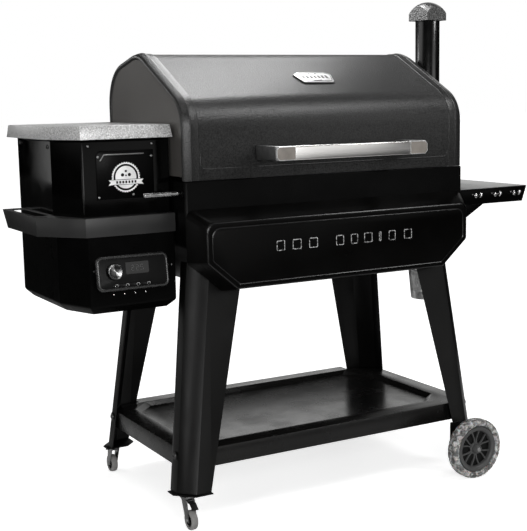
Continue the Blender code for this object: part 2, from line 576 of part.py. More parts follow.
def make_wheels(group):
    hub = WHEEL_Y - WHEEL_W / 2
    end = WHEEL_Y + WHEEL_W / 2 + 0.004
    for name, side in (("front", -1), ("rear", 1)):
        shaft = rod((WHEEL_X, WHEEL_R), AXLE_R, "Y", *sorted((side * (LUG_Y[0] - 0.007), side * end)), 16)
        axle = place(f"{name}_wheel_axle", shaft, "zinc", group, smooth=40)
        for near, far in ((LUG_Y[0] - 0.007, LUG_Y[0] - GAP), (LUG_Y[1] + GAP, hub - GAP)):
            join(axle, rod((WHEEL_X, WHEEL_R), AXLE_SHOULDER_R, "Y", *sorted((side * near, side * far)), 16))
    rim_r, band, hub_r, bore = 0.065, 0.014, 0.019, AXLE_R + 0.0004
    for name, side in (("front", -1), ("rear", 1)):
        centre = (WHEEL_X, side * WHEEL_Y, WHEEL_R)

        def across(points):
            return [(r, side * WHEEL_Y + h) for r, h in points]

        half = WHEEL_W / 2
        tread = [(rim_r + GAP, -half + 0.006), (rim_r + 0.004, -half), (WHEEL_R - 0.006, -half),
                 (WHEEL_R, -half + 0.009), (WHEEL_R, half - 0.009), (WHEEL_R - 0.006, half),
                 (rim_r + 0.004, half), (rim_r + GAP, half - 0.006)]
        tyre = turned(across(tread), "Y", (WHEEL_X, WHEEL_R), BIG_ROUND, solid=False)
        place(f"{name}_wheel_tyre", tyre, "grey_rubber", group, centre, smooth=40)
        disc = turned(across([(bore, -half), (hub_r, -half), (hub_r, -0.004), (rim_r - band, -0.004),
                              (rim_r - band, -half + 0.008), (rim_r, -half + 0.008),
                              (rim_r, half - 0.008), (rim_r - band, half - 0.008), (rim_r - band, 0.004),
                              (hub_r, 0.004), (hub_r, half), (bore, half)]),
                      "Y", (WHEEL_X, WHEEL_R), BIG_ROUND, solid=False)
        rim = place(f"{name}_wheel_rim", disc, "black_plastic", group, centre, smooth=40)
        for k in range(6):
            a = 2 * pi * (k + 0.5) / 6
            half_angle = radians(19)
            window = [(WHEEL_X + r * cos(a + da), WHEEL_R + r * sin(a + da))
                      for r, da in ((0.024, -half_angle), (0.049, -half_angle),
                                    (0.049, half_angle), (0.024, half_angle))]
            cut(rim, prism(window, "Y", side * WHEEL_Y - 0.01, side * WHEEL_Y + 0.01))


# ---------------------------------------------------------------- hopper and controls
def side_plan(left, front, back, right, chamfer, inset=0.0):
    """Plan of the hopper side: a rectangle whose front left corner is cut."""
    left, front, back, right = left + inset, front + inset, back - inset, right - inset
    slack = inset * 0.5
    return [(left, back), (left, front + chamfer[1] - slack), (left + chamfer[0] - slack, front),
            (right, front), (right, back)]


def hopper_plan(inset=0.0, front=HOPPER_FRONT):
    return side_plan(HOPPER_LEFT, front, HOPPER_BACK, HOPPER_RIGHT, HOPPER_CHAMFER, inset)


def mouth_plan(reach):
    """Outline of the bin's mouth, with its chamfer parallel to the bin's own."""
    x, y = BIN_MOUTH
    return [(x - reach, y + reach), (x - reach, y - reach + 0.011), (x - reach + 0.004, y - reach),
            (x + reach, y - reach), (x + reach, y + reach)]


def make_hopper(group):
    """Bin with a sloped floor that empties through a mouth, its guard, its lid and its plate."""
    base = APRON_TOP + GAP
    wall = SHEET
    outer_low, outer_high = lift(hopper_plan(), "Z", base), lift(hopper_plan(), "Z", HOPPER_TOP)
    inner_high, inner_mid = lift(hopper_plan(wall), "Z", HOPPER_TOP), lift(hopper_plan(wall), "Z", FUNNEL_TOP)
    mouth_in, mouth_out = lift(mouth_plan(0.022), "Z", base), lift(mouth_plan(0.0262), "Z", base)
    under_mid, under_low = lift(hopper_plan(wall), "Z", FUNNEL_TOP - 0.003), lift(hopper_plan(wall), "Z", base)
    rings = [outer_low, outer_high, inner_high, inner_mid, mouth_in, mouth_out, under_mid, under_low]
    place("hopper_body", loft(rings, closed=True), "black_enamel", group)
    xs = bar_lines(HOPPER_LEFT + 0.045, HOPPER_RIGHT - 0.004, 5, 0.004)
    ys = bar_lines(HOPPER_FRONT + 0.0035, HOPPER_BACK - 0.004, 7, 0.004)
    guard = lattice(xs, ys, 0.893, 0.004, lambda i, j: i % 2 == 1 and j % 2 == 1)
    place("hopper_guard", guard, "brushed_steel", group)
    face = [(-0.630, 0.838), (-0.480, 0.838), (-0.480, 0.956), (-0.622, 0.956), (-0.630, 0.946)]
    front = HOPPER_FRONT - GAP
    place("hopper_plate", prism(face, "Y", front - 0.0025, front), "black_enamel", group)
    make_hopper_lid(group)


def make_hopper_lid(group):
    reach, flare = HOPPER_LID_OVERHANG, HOPPER_LID_FLARE
    right = HOPPER_RIGHT - 0.021 + reach
    wall = 0.0025

    def plan(grow):
        return side_plan(HOPPER_LEFT, HOPPER_FRONT, HOPPER_BACK, right - reach, HOPPER_CHAMFER, -grow)

    rings = [lift(plan(reach), "Z", HOPPER_LID_BOTTOM), lift(plan(reach - flare), "Z", HOPPER_LID_TOP)]
    lid = place("hopper_lid", loft(rings), "silver_hammertone", group, (-0.58, *HOPPER_HINGE))
    inner = [lift(plan(reach - wall), "Z", HOPPER_LID_BOTTOM - 0.001),
             lift(plan(reach - flare - wall), "Z", HOPPER_LID_TOP - wall)]
    cut(lid, loft(inner))
    return lid


def apron_plan(inset=0.0):
    return side_plan(APRON_LEFT, APRON_FRONT, HOPPER_BACK - 0.010, HOPPER_RIGHT, APRON_CHAMFER, inset)


def make_apron(group):
    """Ledge round the hopper's foot with a turned-down band, slotted on the left as a grip."""
    wall = 0.0022
    plan, inner = apron_plan(), apron_plan(wall)
    plate = place("hopper_apron", prism(plan, "Z", APRON_BOTTOM, APRON_TOP), "black_enamel", group)
    inner = [(x, y + 0.02 if y > 0 else y) for x, y in inner]
    inner = [(x + 0.02 if x > -0.5 else x, y) for x, y in inner]
    cut(plate, prism(inner, "Z", APRON_BOTTOM - 0.01, APRON_TOP - wall))
    slot = chamfered(APRON_LEFT + 0.012, -0.045, HOPPER_LEFT - 0.006, 0.165, 0.010)
    cut(plate, prism(slot, "Z", APRON_BOTTOM, APRON_TOP + 0.01))
    x, y = BIN_MOUTH
    hole = chamfered(x - 0.028, y - 0.028, x + 0.028, y + 0.028, 0.006)
    cut(plate, prism(hole, "Z", APRON_TOP - 0.01, APRON_TOP + 0.01))
    slant = [(0.16, APRON_BOTTOM - 0.001), (0.25, APRON_BOTTOM - 0.001), (0.25, APRON_TOP + 0.001),
             (0.2008, APRON_TOP + 0.001)]
    cut(plate, prism(slant, "X", APRON_LEFT - 0.01, APRON_LEFT + 0.004))


def make_housing(group):
    """Control housing under the apron: open above, bevelled round its foot."""
    wall = SHEET
    top = APRON_TOP - 0.0022 - GAP
    high = HOUSING_BOTTOM + HOUSING_BEVEL
    right = HOPPER_RIGHT - GAP

    def plan(inset):
        return side_plan(HOPPER_LEFT, HOUSING_FRONT, HOPPER_BACK, right, HOPPER_CHAMFER, inset)

    rings = [lift(plan(HOUSING_BEVEL), "Z", HOUSING_BOTTOM), lift(plan(0), "Z", high),
             lift(plan(0), "Z", top), lift(plan(wall), "Z", top),
             lift(plan(wall), "Z", high + 0.001), lift(plan(HOUSING_BEVEL + 0.001), "Z", HOUSING_BOTTOM + wall)]
    housing = place("control_housing", loft(rings), "black_enamel", group)
    cut(housing, rod((AUGER_Y, AUGER_Z), AUGER_R + 0.001, "X", right - 0.01, right + 0.01))
    window = tilted(rounded_plate(PANEL_SIZE[0] - 0.030, PANEL_SIZE[1] - 0.030, 0.008), -0.03, 0.02)
    cut(housing, window)
    inlet = [(-0.600, 0.6405), (-0.5695, 0.6405), (-0.5695, 0.6695), (-0.600, 0.6695)]
    cut(housing, prism(inlet, "Y", HOPPER_BACK - 0.01, HOPPER_BACK + 0.01))
    for i in range(5):
        z = 0.640 + 0.012 * i
        cut(housing, box((HOPPER_LEFT - 0.01, 0.02, z), (HOPPER_LEFT + 0.01, 0.12, z + 0.005)))


def rounded_plate(width, height, radius, steps=4):
    """Closed rounded rectangle about the origin."""
    points = []
    for cx, cy, start in ((width / 2, height / 2, 0), (-width / 2, height / 2, 90),
                          (-width / 2, -height / 2, 180), (width / 2, -height / 2, 270)):
        sx, sy = (1 if cx > 0 else -1), (1 if cy > 0 else -1)
        for k in range(steps + 1):
            a = radians(start + 90 * k / steps)
            points.append((cx - sx * radius + radius * cos(a), cy - sy * radius + radius * sin(a)))
    return points


def panel_matrix():
    """Control panel's frame: local x to the right, y up the panel, z out of it."""
    turn = Matrix.Rotation(pi / 2 - PANEL_TILT, 4, "X")
    return Matrix.Translation(PANEL_CENTRE) @ turn


def tilted(outline, low, high):
    mesh = prism(outline, "Z", low, high)
    mesh.transform(panel_matrix())
    return mesh


def make_controls(group):
    """Bezel, panel, dial and probe sockets, all square to the tilted panel."""
    width, height = PANEL_SIZE
    bezel = place("control_bezel", tilted(rounded_plate(width, height, 0.016), -0.002, 0.012),
                  "black_plastic", group)
    cut(bezel, tilted(rounded_plate(width - 0.014, height - 0.014, 0.010), 0.004, 0.02))
    cut(bezel, tilted(rounded_plate(width - 0.024, height - 0.024, 0.008), -0.02, 0.02))
    trim_bezel_back(bezel)
    panel = rounded_plate(width - 0.0152, height - 0.0152, 0.0094)
    place("control_panel", tilted(panel, 0.0043, 0.0065), "black_plastic", group)
    spot = Vector((-0.050, 0.004, 0.0))
    centre = panel_matrix() @ spot
    shape = [(0.019, 0.0068), (0.0205, 0.0085), (0.0195, 0.020), (0.0175, 0.0215)]
    dial = loft([lift(circle((spot.x, spot.y), r, ROUND), "Z", z) for r, z in shape])
    dial.transform(panel_matrix())
    place("dial_knob", dial, "brushed_steel", group, centre, smooth=35)
    strip_plate = [(x - 0.004, y - 0.031) for x, y in rounded_plate(0.104, 0.0085, 0.004, 2)]
    sockets = place("probe_port_strip", tilted(strip_plate, 0.0068, 0.0078), "black_plastic", group)
    for i in range(4):
        port = circle((-0.004 + (i - 1.5) * 0.0282, -0.031), 0.0036, 12)
        join(sockets, tilted(port, 0.0073, 0.0100))


def trim_bezel_back(bezel):
    """Cut the bezel back to the housing's front face."""
    low = (-0.70, HOUSING_FRONT - GAP, 0.60)
    cut(bezel, box(low, (-0.42, HOUSING_FRONT + 0.06, 0.72)))


def make_auger(group):
    """Feed tube with its inlet chute, the screw in it, its motor, and the combustion fan."""
    centre = (AUGER_Y, AUGER_Z)
    inner = AUGER_R - SHEET
    tube = turned([(AUGER_R, AUGER_LEFT), (AUGER_R, AUGER_RIGHT), (inner, AUGER_RIGHT), (inner, AUGER_LEFT)],
                  "X", centre, 20, solid=False)
    tube = place("auger_tube", tube, "zinc", group, smooth=40)
    x, y = BIN_MOUTH
    top = APRON_TOP - 0.0022 - GAP
    join(tube, box((x - 0.024, y - 0.024, AUGER_Z), (x + 0.024, y + 0.024, top)))
    cut(tube, box((x - 0.021, y - 0.021, AUGER_Z), (x + 0.021, y + 0.021, top + 0.01)))
    cut(tube, rod(centre, inner, "X", AUGER_LEFT + 0.002, AUGER_RIGHT - 0.002, 20))
    place("auger_screw", screw_mesh(centre), "zinc", group, (AUGER_LEFT, *centre), smooth=50)
    gearbox = box((AUGER_LEFT - 0.028, y - 0.032, AUGER_Z - 0.032), (AUGER_LEFT - 0.003, y + 0.032, AUGER_Z + 0.032))
    motor = place("auger_motor", gearbox, "black_plastic", group)
    join(motor, rod((y + 0.010, AUGER_Z), 0.019, "X", AUGER_LEFT - 0.058, AUGER_LEFT - 0.027, 20))
    cut(motor, rod(centre, 0.0066, "X", AUGER_LEFT - 0.014, AUGER_LEFT, 16))
    make_fan(group)


def screw_mesh(centre):
    """Twisted section: a core with one lobe, which sweeps out the auger's flight."""
    core, flight, pitch, steps_per_turn = 0.0060, 0.0205, 0.060, 8
    lobe = radians(34)
    section = [(core, pi / 2 + pi * k / 3) for k in range(4)]
    section = [(flight, -lobe / 2), (flight, 0.0), (flight, lobe / 2)] + section
    start, end = AUGER_LEFT + 0.003, AUGER_RIGHT - 0.004
    count = round((end - start) / pitch * steps_per_turn)
    rings = [lift(circle(centre, core, len(section)), "X", AUGER_LEFT - 0.013)]
    rings.append(lift(circle(centre, core, len(section)), "X", start - 0.0005))
    for i in range(count + 1):
        turn = 2 * pi * i / steps_per_turn
        x = start + (end - start) * i / count
        rings.append([(x, centre[0] + r * cos(a + turn), centre[1] + r * sin(a + turn)) for r, a in section])
    return loft(rings)


def make_fan(group):
    x, y, z = FAN_CENTRE
    side = 0.040
    case = place("combustion_fan_case", prism(chamfered(x - side, z - side, x + side, z + side, 0.006), "Y",
                                              y - 0.0125, y + 0.0125), "black_plastic", group)
    cut(case, rod((x, z), 0.037, "Y", y - 0.02, y + 0.0095, 20))
    impeller = place("fan_impeller", rod((x, z), 0.012, "Y", y - 0.011, y + 0.009, 16), "black_plastic", group,
                     FAN_CENTRE)
    for k in range(5):
        blade = box((x + 0.010, y - 0.008, z - 0.001), (x + 0.0345, y + 0.006, z + 0.001))
        blade.transform(Matrix.Translation((x, 0, z)) @ Matrix.Rotation(2 * pi * k / 5, 4, "Y")
                        @ Matrix.Translation((-x, 0, -z)))
        join(impeller, blade)
    inlet = [(-0.5995, 0.641), (-0.570, 0.641), (-0.570, 0.669), (-0.5995, 0.669)]
    socket = place("power_inlet", prism(inlet, "Y", HOPPER_BACK - 0.018, HOPPER_BACK + 0.001),
                   "black_plastic", group)
    join(socket, box((-0.607, HOPPER_BACK + GAP, 0.634), (-0.5625, HOPPER_BACK + 0.0025, 0.676)))
    cut(socket, box((-0.596, HOPPER_BACK - 0.014, 0.6445), (-0.5735, HOPPER_BACK + 0.01, 0.6655)))


# ---------------------------------------------------------------- right side
def make_chimney(group):
    centre = (CHIMNEY_X, CHIMNEY_Y)
    wall = 0.002
    outer = chamfered(BARREL_HX + GAP, CHIMNEY_Y - 0.045, CHIMNEY_X + 0.045, CHIMNEY_Y + 0.045, 0.012)
    outer = [(BARREL_HX + GAP, CHIMNEY_Y - 0.045), *outer[1:5], (BARREL_HX + GAP, CHIMNEY_Y + 0.045)]
    elbow = place("chimney_elbow", prism(outer, "Z", SIDE_TOP_Z + 0.0005, SEAM_Z - 0.004), "black_enamel", group)
    cut(elbow, rod(centre, CHIMNEY_R - wall, "Z", SIDE_TOP_Z + 0.010, SEAM_Z + 0.01))
    cut(elbow, rod((CHIMNEY_Y, 0.845), 0.022, "X", BARREL_HX - 0.01, CHIMNEY_X, 16))
    tube = turned([(CHIMNEY_R, SEAM_Z - 0.0037), (CHIMNEY_R, CHIMNEY_TOP), (CHIMNEY_R - wall, CHIMNEY_TOP),
                   (CHIMNEY_R - wall, SEAM_Z - 0.0037)], "Z", centre, solid=False)
    pipe = place("chimney_pipe", tube, "black_enamel", group, smooth=40)
    bridge = box((CHIMNEY_X - CHIMNEY_R + 0.001, CHIMNEY_Y - 0.006, CHIMNEY_TOP - 0.045),
                 (CHIMNEY_X + CHIMNEY_R - 0.001, CHIMNEY_Y + 0.006, CHIMNEY_TOP - 0.042))
    join(pipe, bridge)
    cut(pipe, rod(centre, 0.0036, "Z", CHIMNEY_TOP - 0.06, CHIMNEY_TOP - 0.03, 12))
    make_chimney_cap(group, centre)


def make_chimney_cap(group, centre):
    """Square hood with a domed top, hollow below, on a rod that slides in the pipe's bridge."""
    half, wall = CAP_SIDE / 2, 0.002
    skirt = 0.030

    def square(size, z, bulge=0.0):
        points = []
        for k in range(16):
            a = 2 * pi * k / 16 + pi / 4
            reach = size / max(abs(cos(a)), abs(sin(a)))
            reach = reach * (1 - bulge) + size * bulge
            points.append((reach * cos(a + CAP_TURN) + centre[0], reach * sin(a + CAP_TURN) + centre[1], z))
        return points

    height = CAP_TOP - CAP_BOTTOM - skirt
    outer = [square(half, CAP_BOTTOM), square(half, CAP_BOTTOM + skirt)]
    outer += [square(half * cos(t), CAP_BOTTOM + skirt + height * sin(t), 0.5 * sin(t))
              for t in (0.45, 0.8, 1.1, 1.35)]
    hood = place("chimney_cap", loft(outer), "silver_hammertone", group, (*centre, CAP_BOTTOM), smooth=32)
    inner = [square(half - wall, CAP_BOTTOM - 0.001), square(half - wall, CAP_BOTTOM + skirt - wall)]
    inner += [square((half - wall) * cos(t), CAP_BOTTOM + skirt - wall + height * sin(t) * 0.9, 0.5 * sin(t))
              for t in (0.5, 0.9, 1.2)]
    cut(hood, loft(inner))
    join(hood, rod(centre, 0.0030, "Z", CHIMNEY_TOP - 0.080, CAP_TOP - 0.004, 12))


def make_side_shelf(group):
    """Steel top on a black folded skirt, carried by two gussets."""
    left, right = BARREL_HX + GAP, SIDE_RIGHT
    wall, skin = 0.002, 0.0015
    top = [(left, SIDE_Y0), (right, SIDE_Y0), (right, SIDE_Y1), (left, SIDE_Y1)]
    place("side_shelf_top", prism(top, "Z", SIDE_TOP_Z - skin, SIDE_TOP_Z), "brushed_steel", group)
    high, low = SIDE_TOP_Z - skin - GAP, SIDE_TOP_Z - SIDE_SKIRT
    slope = 0.016
    rings = [[(left, SIDE_Y0, low), (right - slope, SIDE_Y0, low), (right - slope, SIDE_Y1, low), (left, SIDE_Y1, low)],
             [(left, SIDE_Y0, high), (right, SIDE_Y0, high), (right, SIDE_Y1, high), (left, SIDE_Y1, high)],
             [(left + wall, SIDE_Y0 + wall, high), (right - wall, SIDE_Y0 + wall, high),
              (right - wall, SIDE_Y1 - wall, high), (left + wall, SIDE_Y1 - wall, high)],
             [(left + wall, SIDE_Y0 + wall, low), (right - slope - wall, SIDE_Y0 + wall, low),
              (right - slope - wall, SIDE_Y1 - wall, low), (left + wall, SIDE_Y1 - wall, low)]]
    place("side_shelf_skirt", loft(rings, closed=True), "black_enamel", group)
    brace = [(left, low - GAP), (left + 0.130, low - GAP), (left, low - 0.075)]
    for name, y in (("shelf_gusset_front", SIDE_Y0 + 0.020), ("shelf_gusset_rear", SIDE_Y1 - 0.022)):
        gusset = place(name, prism(brace, "Y", y, y + wall), "black_enamel", group)
        tab = sorted((y, y + (0.016 if y < 0 else -0.014)))
        join(gusset, box((left, tab[0], low - 0.075), (left + wall, tab[1], low - GAP)))


def make_bucket(group):
    """Grease bucket, its wire bail and the hook that it hangs from."""
    floor, wall = BUCKET_TOP - BUCKET_H, 0.0015
    centre = (BUCKET_X, BUCKET_Y)
    swing = (BUCKET_X, BUCKET_Y, BAIL_TOP)
    rings = [(BUCKET_R0, floor), (BUCKET_R1, BUCKET_TOP), (BUCKET_R1 - wall, BUCKET_TOP),
             (BUCKET_R0 - wall, floor + wall)]
    body = turned(rings, "Z", centre, 28)
    place("grease_bucket", body, "brushed_steel", group, swing, smooth=40)
    reach = BUCKET_R1 + 0.0035
    arc = [(BUCKET_X, BUCKET_Y - reach * cos(pi * k / 12), BUCKET_TOP - 0.010 + (BAIL_TOP - BUCKET_TOP + 0.008)
            * sin(pi * k / 12) ** 0.8) for k in range(13)]
    place("bucket_bail", sweep(arc, 0.0018, 6), "zinc", group, swing, smooth=60)


def make_bucket_hook(group):
    """Wire hook under the barrel's right slope that holds the bail."""
    x, z = BUCKET_X, BAIL_TOP - 0.002
    top_x = BARREL_HX + GAP + 0.0025
    curl = [(x + 0.006 * cos(a), 0.0, z + 0.0019 + 0.006 * sin(a))
            for a in [radians(20 - 30 * k) for k in range(8)]]
    stem = [(top_x, 0.0, SHOULDER_Z + 0.03), (top_x, 0.0, SHOULDER_Z - 0.005), (top_x + 0.012, 0.0, 0.66)]
    path = stem + [(x - 0.006, 0.0, z + 0.03)] + list(reversed(curl))
    place("bucket_hook", sweep(path, 0.0022, 8), "zinc", group, smooth=60)


# ---------------------------------------------------------------- assembly
def centre_on_floor(group):
    """Move the grill so that its origin lies under the middle of its box."""
    bpy.context.view_layer.update()
    graph = bpy.context.evaluated_depsgraph_get()
    pieces = [obj for obj in bpy.data.objects if obj.type == "MESH" and not obj.hide_render]
    corners = [obj.matrix_world @ vert.co for obj in pieces for vert in obj.evaluated_get(graph).data.vertices]
    for axis in (0, 1):
        values = [corner[axis] for corner in corners]
        group.location[axis] = -(min(values) + max(values)) / 2


def main():
    clear_scene()
    grill = bpy.data.objects.new("grill", None)
    bpy.context.collection.objects.link(grill)
    for make in (make_barrel, make_front_panel, make_lid, make_handle, make_lid_hinge, make_grates,
                 make_fire_parts, make_drain, make_legs, make_bottom_shelf, make_casters, make_wheels, make_hopper,
                 make_apron, make_housing, make_controls, make_auger, make_chimney, make_side_shelf,
                 make_bucket, make_bucket_hook):
        make(grill)
    centre_on_floor(grill)


main()
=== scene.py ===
"""Looks of the pellet smoker grill: formed sheet metal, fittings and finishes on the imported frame.

Metres, +Z up, front towards -Y, hopper towards -X. Positions come from the frame's boxes."""
import json
from math import cos, pi, radians, sin, sqrt, tan

import bmesh
import bpy
from mathutils import Matrix, Vector


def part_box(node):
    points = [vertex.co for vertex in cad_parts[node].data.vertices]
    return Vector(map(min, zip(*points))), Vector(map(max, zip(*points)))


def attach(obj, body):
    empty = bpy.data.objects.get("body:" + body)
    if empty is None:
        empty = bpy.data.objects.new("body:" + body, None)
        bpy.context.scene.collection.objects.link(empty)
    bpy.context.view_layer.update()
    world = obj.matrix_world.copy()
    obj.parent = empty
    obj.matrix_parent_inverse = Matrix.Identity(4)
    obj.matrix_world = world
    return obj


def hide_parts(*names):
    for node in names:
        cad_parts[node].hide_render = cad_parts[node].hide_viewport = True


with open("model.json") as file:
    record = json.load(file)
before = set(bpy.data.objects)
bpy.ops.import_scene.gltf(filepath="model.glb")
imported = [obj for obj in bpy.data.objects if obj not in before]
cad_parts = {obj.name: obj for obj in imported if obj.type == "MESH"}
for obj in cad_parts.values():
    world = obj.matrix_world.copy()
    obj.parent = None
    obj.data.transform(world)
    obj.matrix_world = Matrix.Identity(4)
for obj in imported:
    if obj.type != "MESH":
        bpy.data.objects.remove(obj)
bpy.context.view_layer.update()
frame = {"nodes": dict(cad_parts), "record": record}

# ---------------------------------------------------------------- camera
CAMERA_AT = Vector((-1.5842, -2.7281, 1.0806))
CAMERA_YAW, CAMERA_PITCH, CAMERA_ROLL = radians(29.2939), radians(8.5815), radians(-1.0995)
CAMERA_LENS = 76.23

# ---------------------------------------------------------------- driving dimensions
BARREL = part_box("barrel_body")
MIDDLE_X = (BARREL[0].x + BARREL[1].x) / 2
HALF_X = (BARREL[1].x - BARREL[0].x) / 2
HALF_Y = BARREL[1].y
SEAM_Z = BARREL[1].z + 0.0008
SLOPE = 0.13  # run and rise of the barrel's sloped foot
SHEET, THIN_SHEET = 0.0018, 0.0016

LID_CORNERS = (1.0625, (0.028, 1.205), 1.155)  # front corner z, crest (y, z), back corner z
LID_RADII = (0.1, 0.12, 0.12)
LID_BANDS = (0.409, 0.389)  # half widths of the two steps beside each end
RIM_INSET, CAP_RECESS = 0.018, 0.005

PANEL_Y, PANEL_HX, PANEL_TOP, PANEL_BOTTOM = -0.299, 0.402, 0.7765, 0.6078
PANEL_CHAMFER_X, PANEL_CHAMFER_Z = 0.3207, 0.678
PANEL_FLARE, PANEL_DROP = 0.029, 0.012

CONTROL_CENTRE = Vector((MIDDLE_X - 0.558, -0.1925, 0.66))
CONTROL_SIZE, CONTROL_TILT = (0.19, 0.087), radians(8)
HOUSING_BEVEL = 0.02
TOWER_CUT = (0.04, 0.11)  # cut front corner of the hopper and the housing, along X and Y
LEG_BOLT = (0.4655, 0.211, 0.18)  # from the barrel's middle, from the middle plane, above the floor
BADGE_SIZE = (0.122, 0.06)
ENDS = (("front", -1), ("rear", 1))  # names of the grill's two sides and their way along Y
DIAL_SPOT, DIAL_FACE = (-0.05, 0.004), 0.0203  # middle and height on the control panel

NODES = frame["nodes"]
BODY_OF = {node: body for body, nodes in frame["record"]["behaviour"]["bodies"].items() for node in nodes}
SLOT_OF = {row["node"]: row["material_slot"] for row in frame["record"]["subparts"]}

# direction, edge and core half-angle in degrees, strength
WORLD_PATCHES = [
    ((0.5, 0.86, 0.0), 20, 13, 0.95),
    ((0.72, 0.6, 0.36), 15, 6, 1.2),
    ((-0.49, 0.87, 0.06), 16, 8, 0.85),
    ((-0.8, 0.3, 0.55), 28, 10, 0.8),
    ((0.45, -0.89, 0.05), 28, 12, 1.1),
    ((-0.16, -0.44, 0.88), 13, 6, 2.6),
    ((-0.978, 0.208, 0.04), 8, 4, 5.0),
    ((-0.52, -0.85, 0.05), 11, 7, 6.0),
]


def control_frame():
    """Control panel's frame: local x to the right, y up the panel, z out of it."""
    return Matrix.Translation(CONTROL_CENTRE) @ Matrix.Rotation(pi / 2 - CONTROL_TILT, 4, "X")


# ---------------------------------------------------------------- node helpers for materials
class Graph:
    """Node tree with one helper that makes, sets and links a node."""

    def __init__(self, tree):
        self.nodes, self.links = tree.nodes, tree.links

    def node(self, kind, *values, settings=None, **named):
        """Add a node and return its outputs. Values fill its inputs in order or by name; None is left out."""
        node = self.nodes.new(f"ShaderNode{kind}")
        for key, value in (settings or {}).items():
            setattr(node, key, value)
        self.fill(zip(node.inputs, values))
        self.fill((node.inputs[key.replace("_", " ")], value) for key, value in named.items())
        return node.outputs

    def fill(self, pairs):
        """Link or set each socket."""
        for socket, value in pairs:
            if isinstance(value, bpy.types.NodeSocket):
                self.links.new(value, socket)
            elif value is not None:
                socket.default_value = value

    def maths(self, operation, *operands):
        return self.node("Math", *operands, settings={"operation": operation})["Value"]

    def vectors(self, operation, first, second=None, output="Vector"):
        return self.node("VectorMath", first, second, settings={"operation": operation})[output]

    def spread(self, value, low, high, start=0.3, end=0.7, curve="LINEAR"):
        """Map a pattern's values between start and end onto a range of numbers."""
        return self.node("MapRange", settings={"interpolation_type": curve}, Value=value, From_Min=start,
                         From_Max=end, To_Min=low, To_Max=high)["Result"]


class Shader(Graph):
    """A Principled material that is built up from procedural layers in object space."""

    def __init__(self, name, roughness, metallic=0.0, specular=0.5):
        self.mat = bpy.data.materials.new(name)
        self.mat.use_nodes = True
        super().__init__(self.mat.node_tree)
        self.out = self.nodes["Principled BSDF"]
        self.set("Roughness", roughness)
        self.set("Metallic", metallic)
        self.set("Specular IOR Level", specular)
        self.coords = self.node("TexCoord")["Object"]
        self.height = None

    def set(self, name, value):
        """Set or link one input of the Principled node."""
        self.fill([(self.out.inputs[name], value)])

    def stretched(self, factors):
        return self.node("Mapping", Vector=self.coords, Scale=factors)["Vector"] if factors else self.coords

    def noise(self, scale, detail=3.0, stretch=None, distortion=0.0):
        return self.node("TexNoise", Vector=self.stretched(stretch), Scale=scale, Detail=detail,
                         Distortion=distortion)["Fac"]

    def cells(self, scale):
        settings = {"feature": "SMOOTH_F1"}
        return self.node("TexVoronoi", settings=settings, Vector=self.coords, Scale=scale)["Distance"]

    def colours(self, value, *stops):
        outputs = self.node("ValToRGB", value)
        ramp = outputs["Color"].node.color_ramp
        while len(ramp.elements) < len(stops):
            ramp.elements.new(0.5)
        for element, (place, colour) in zip(ramp.elements, stops):
            element.position = place
            element.color = (*colour, 1)
        return outputs["Color"]

    def tone(self, value, low, high, warmth=0.0, start=0.3, end=0.7):
        """Map a 0 to 1 pattern onto greys between two levels."""
        return self.colours(value, (start, grey(low, warmth)), (end, grey(high, warmth)))

    def mix(self, first, second, factor, mode="MIX"):
        return self.node("Mix", settings={"data_type": "RGBA", "blend_type": mode}, Factor=factor, A=first,
                         B=second)["Result"]

    def colour(self, socket):
        self.set("Base Color", socket)

    def roughness(self, value, low, high):
        self.set("Roughness", self.spread(value, low, high))

    def bump(self, value, strength, distance):
        self.height = self.node("Bump", Strength=strength, Distance=distance, Height=value,
                                Normal=self.height)["Normal"]
        self.set("Normal", self.height)


def grey(value, warmth=0.0):
    return (value * (1 + warmth), value, value * (1 - warmth))


def drifting(shader, tone, gloss, grain=None):
    """Finish a plain material: its tone and gloss drift a little, over a fine grain.

    Each of tone, gloss and grain holds a noise's scale and detail, then the numbers for Shader.tone,
    Shader.roughness and Shader.bump."""
    shader.colour(shader.tone(shader.noise(*tone[:2]), *tone[2:]))
    shader.roughness(shader.noise(*gloss[:2]), *gloss[2:])
    if grain:
        shader.bump(shader.noise(*grain[:2]), *grain[2:])
    return shader.mat


def enamel(name, level, rough, specular, warmth=0.0):
    """Gloss black coat with orange peel, faint dust and slow drift of its gloss."""
    shader = Shader(name, rough, specular=specular)
    base = shader.tone(shader.noise(5.0, 2.0), level * 0.75, level * 1.25, warmth)
    specks = shader.tone(shader.noise(900.0, 2.0), 0.0, 0.03, start=0.68, end=0.8)
    shader.colour(shader.mix(base, specks, 0.3, "ADD"))
    shader.roughness(shader.noise(14.0, 4.0), rough - 0.05, rough + 0.07)
    shader.bump(shader.noise(260.0, 2.0), 0.1, 0.0004)
    shader.bump(shader.noise(3.0, 1.0), 0.15, 0.001)
    return shader.mat


def hammertone(name, level, rough, metallic, grain, strength, warmth=0.0):
    """Hammered powder coat: rounded cells with brighter crowns."""
    shader = Shader(name, rough, metallic)
    fleck = shader.noise(grain * 0.8, 3.0)
    patch = shader.tone(fleck, level * 0.55, level * 1.35, warmth, 0.32, 0.68)
    drift = shader.tone(shader.noise(4.0, 2.0), 0.85, 1.0)
    shader.colour(shader.mix(patch, drift, 1.0, "MULTIPLY"))
    shader.roughness(fleck, rough - 0.08, rough + 0.1)
    shader.bump(shader.cells(grain), strength, 0.0007)
    shader.bump(shader.noise(grain * 0.45, 2.0), strength * 0.7, 0.0007)
    return shader.mat


def shade_towards_foot(material, low, high):
    """Take gloss off a coat between two heights, darker towards the seam at its foot: painted shade."""
    graph = Graph(material.node_tree)
    height = graph.node("SeparateXYZ", graph.nodes["Texture Coordinate"].outputs["Object"])["Z"]
    gloss = graph.spread(height, 0.12, 0.5, low, high)
    graph.links.new(gloss, graph.nodes["Principled BSDF"].inputs["Specular IOR Level"])


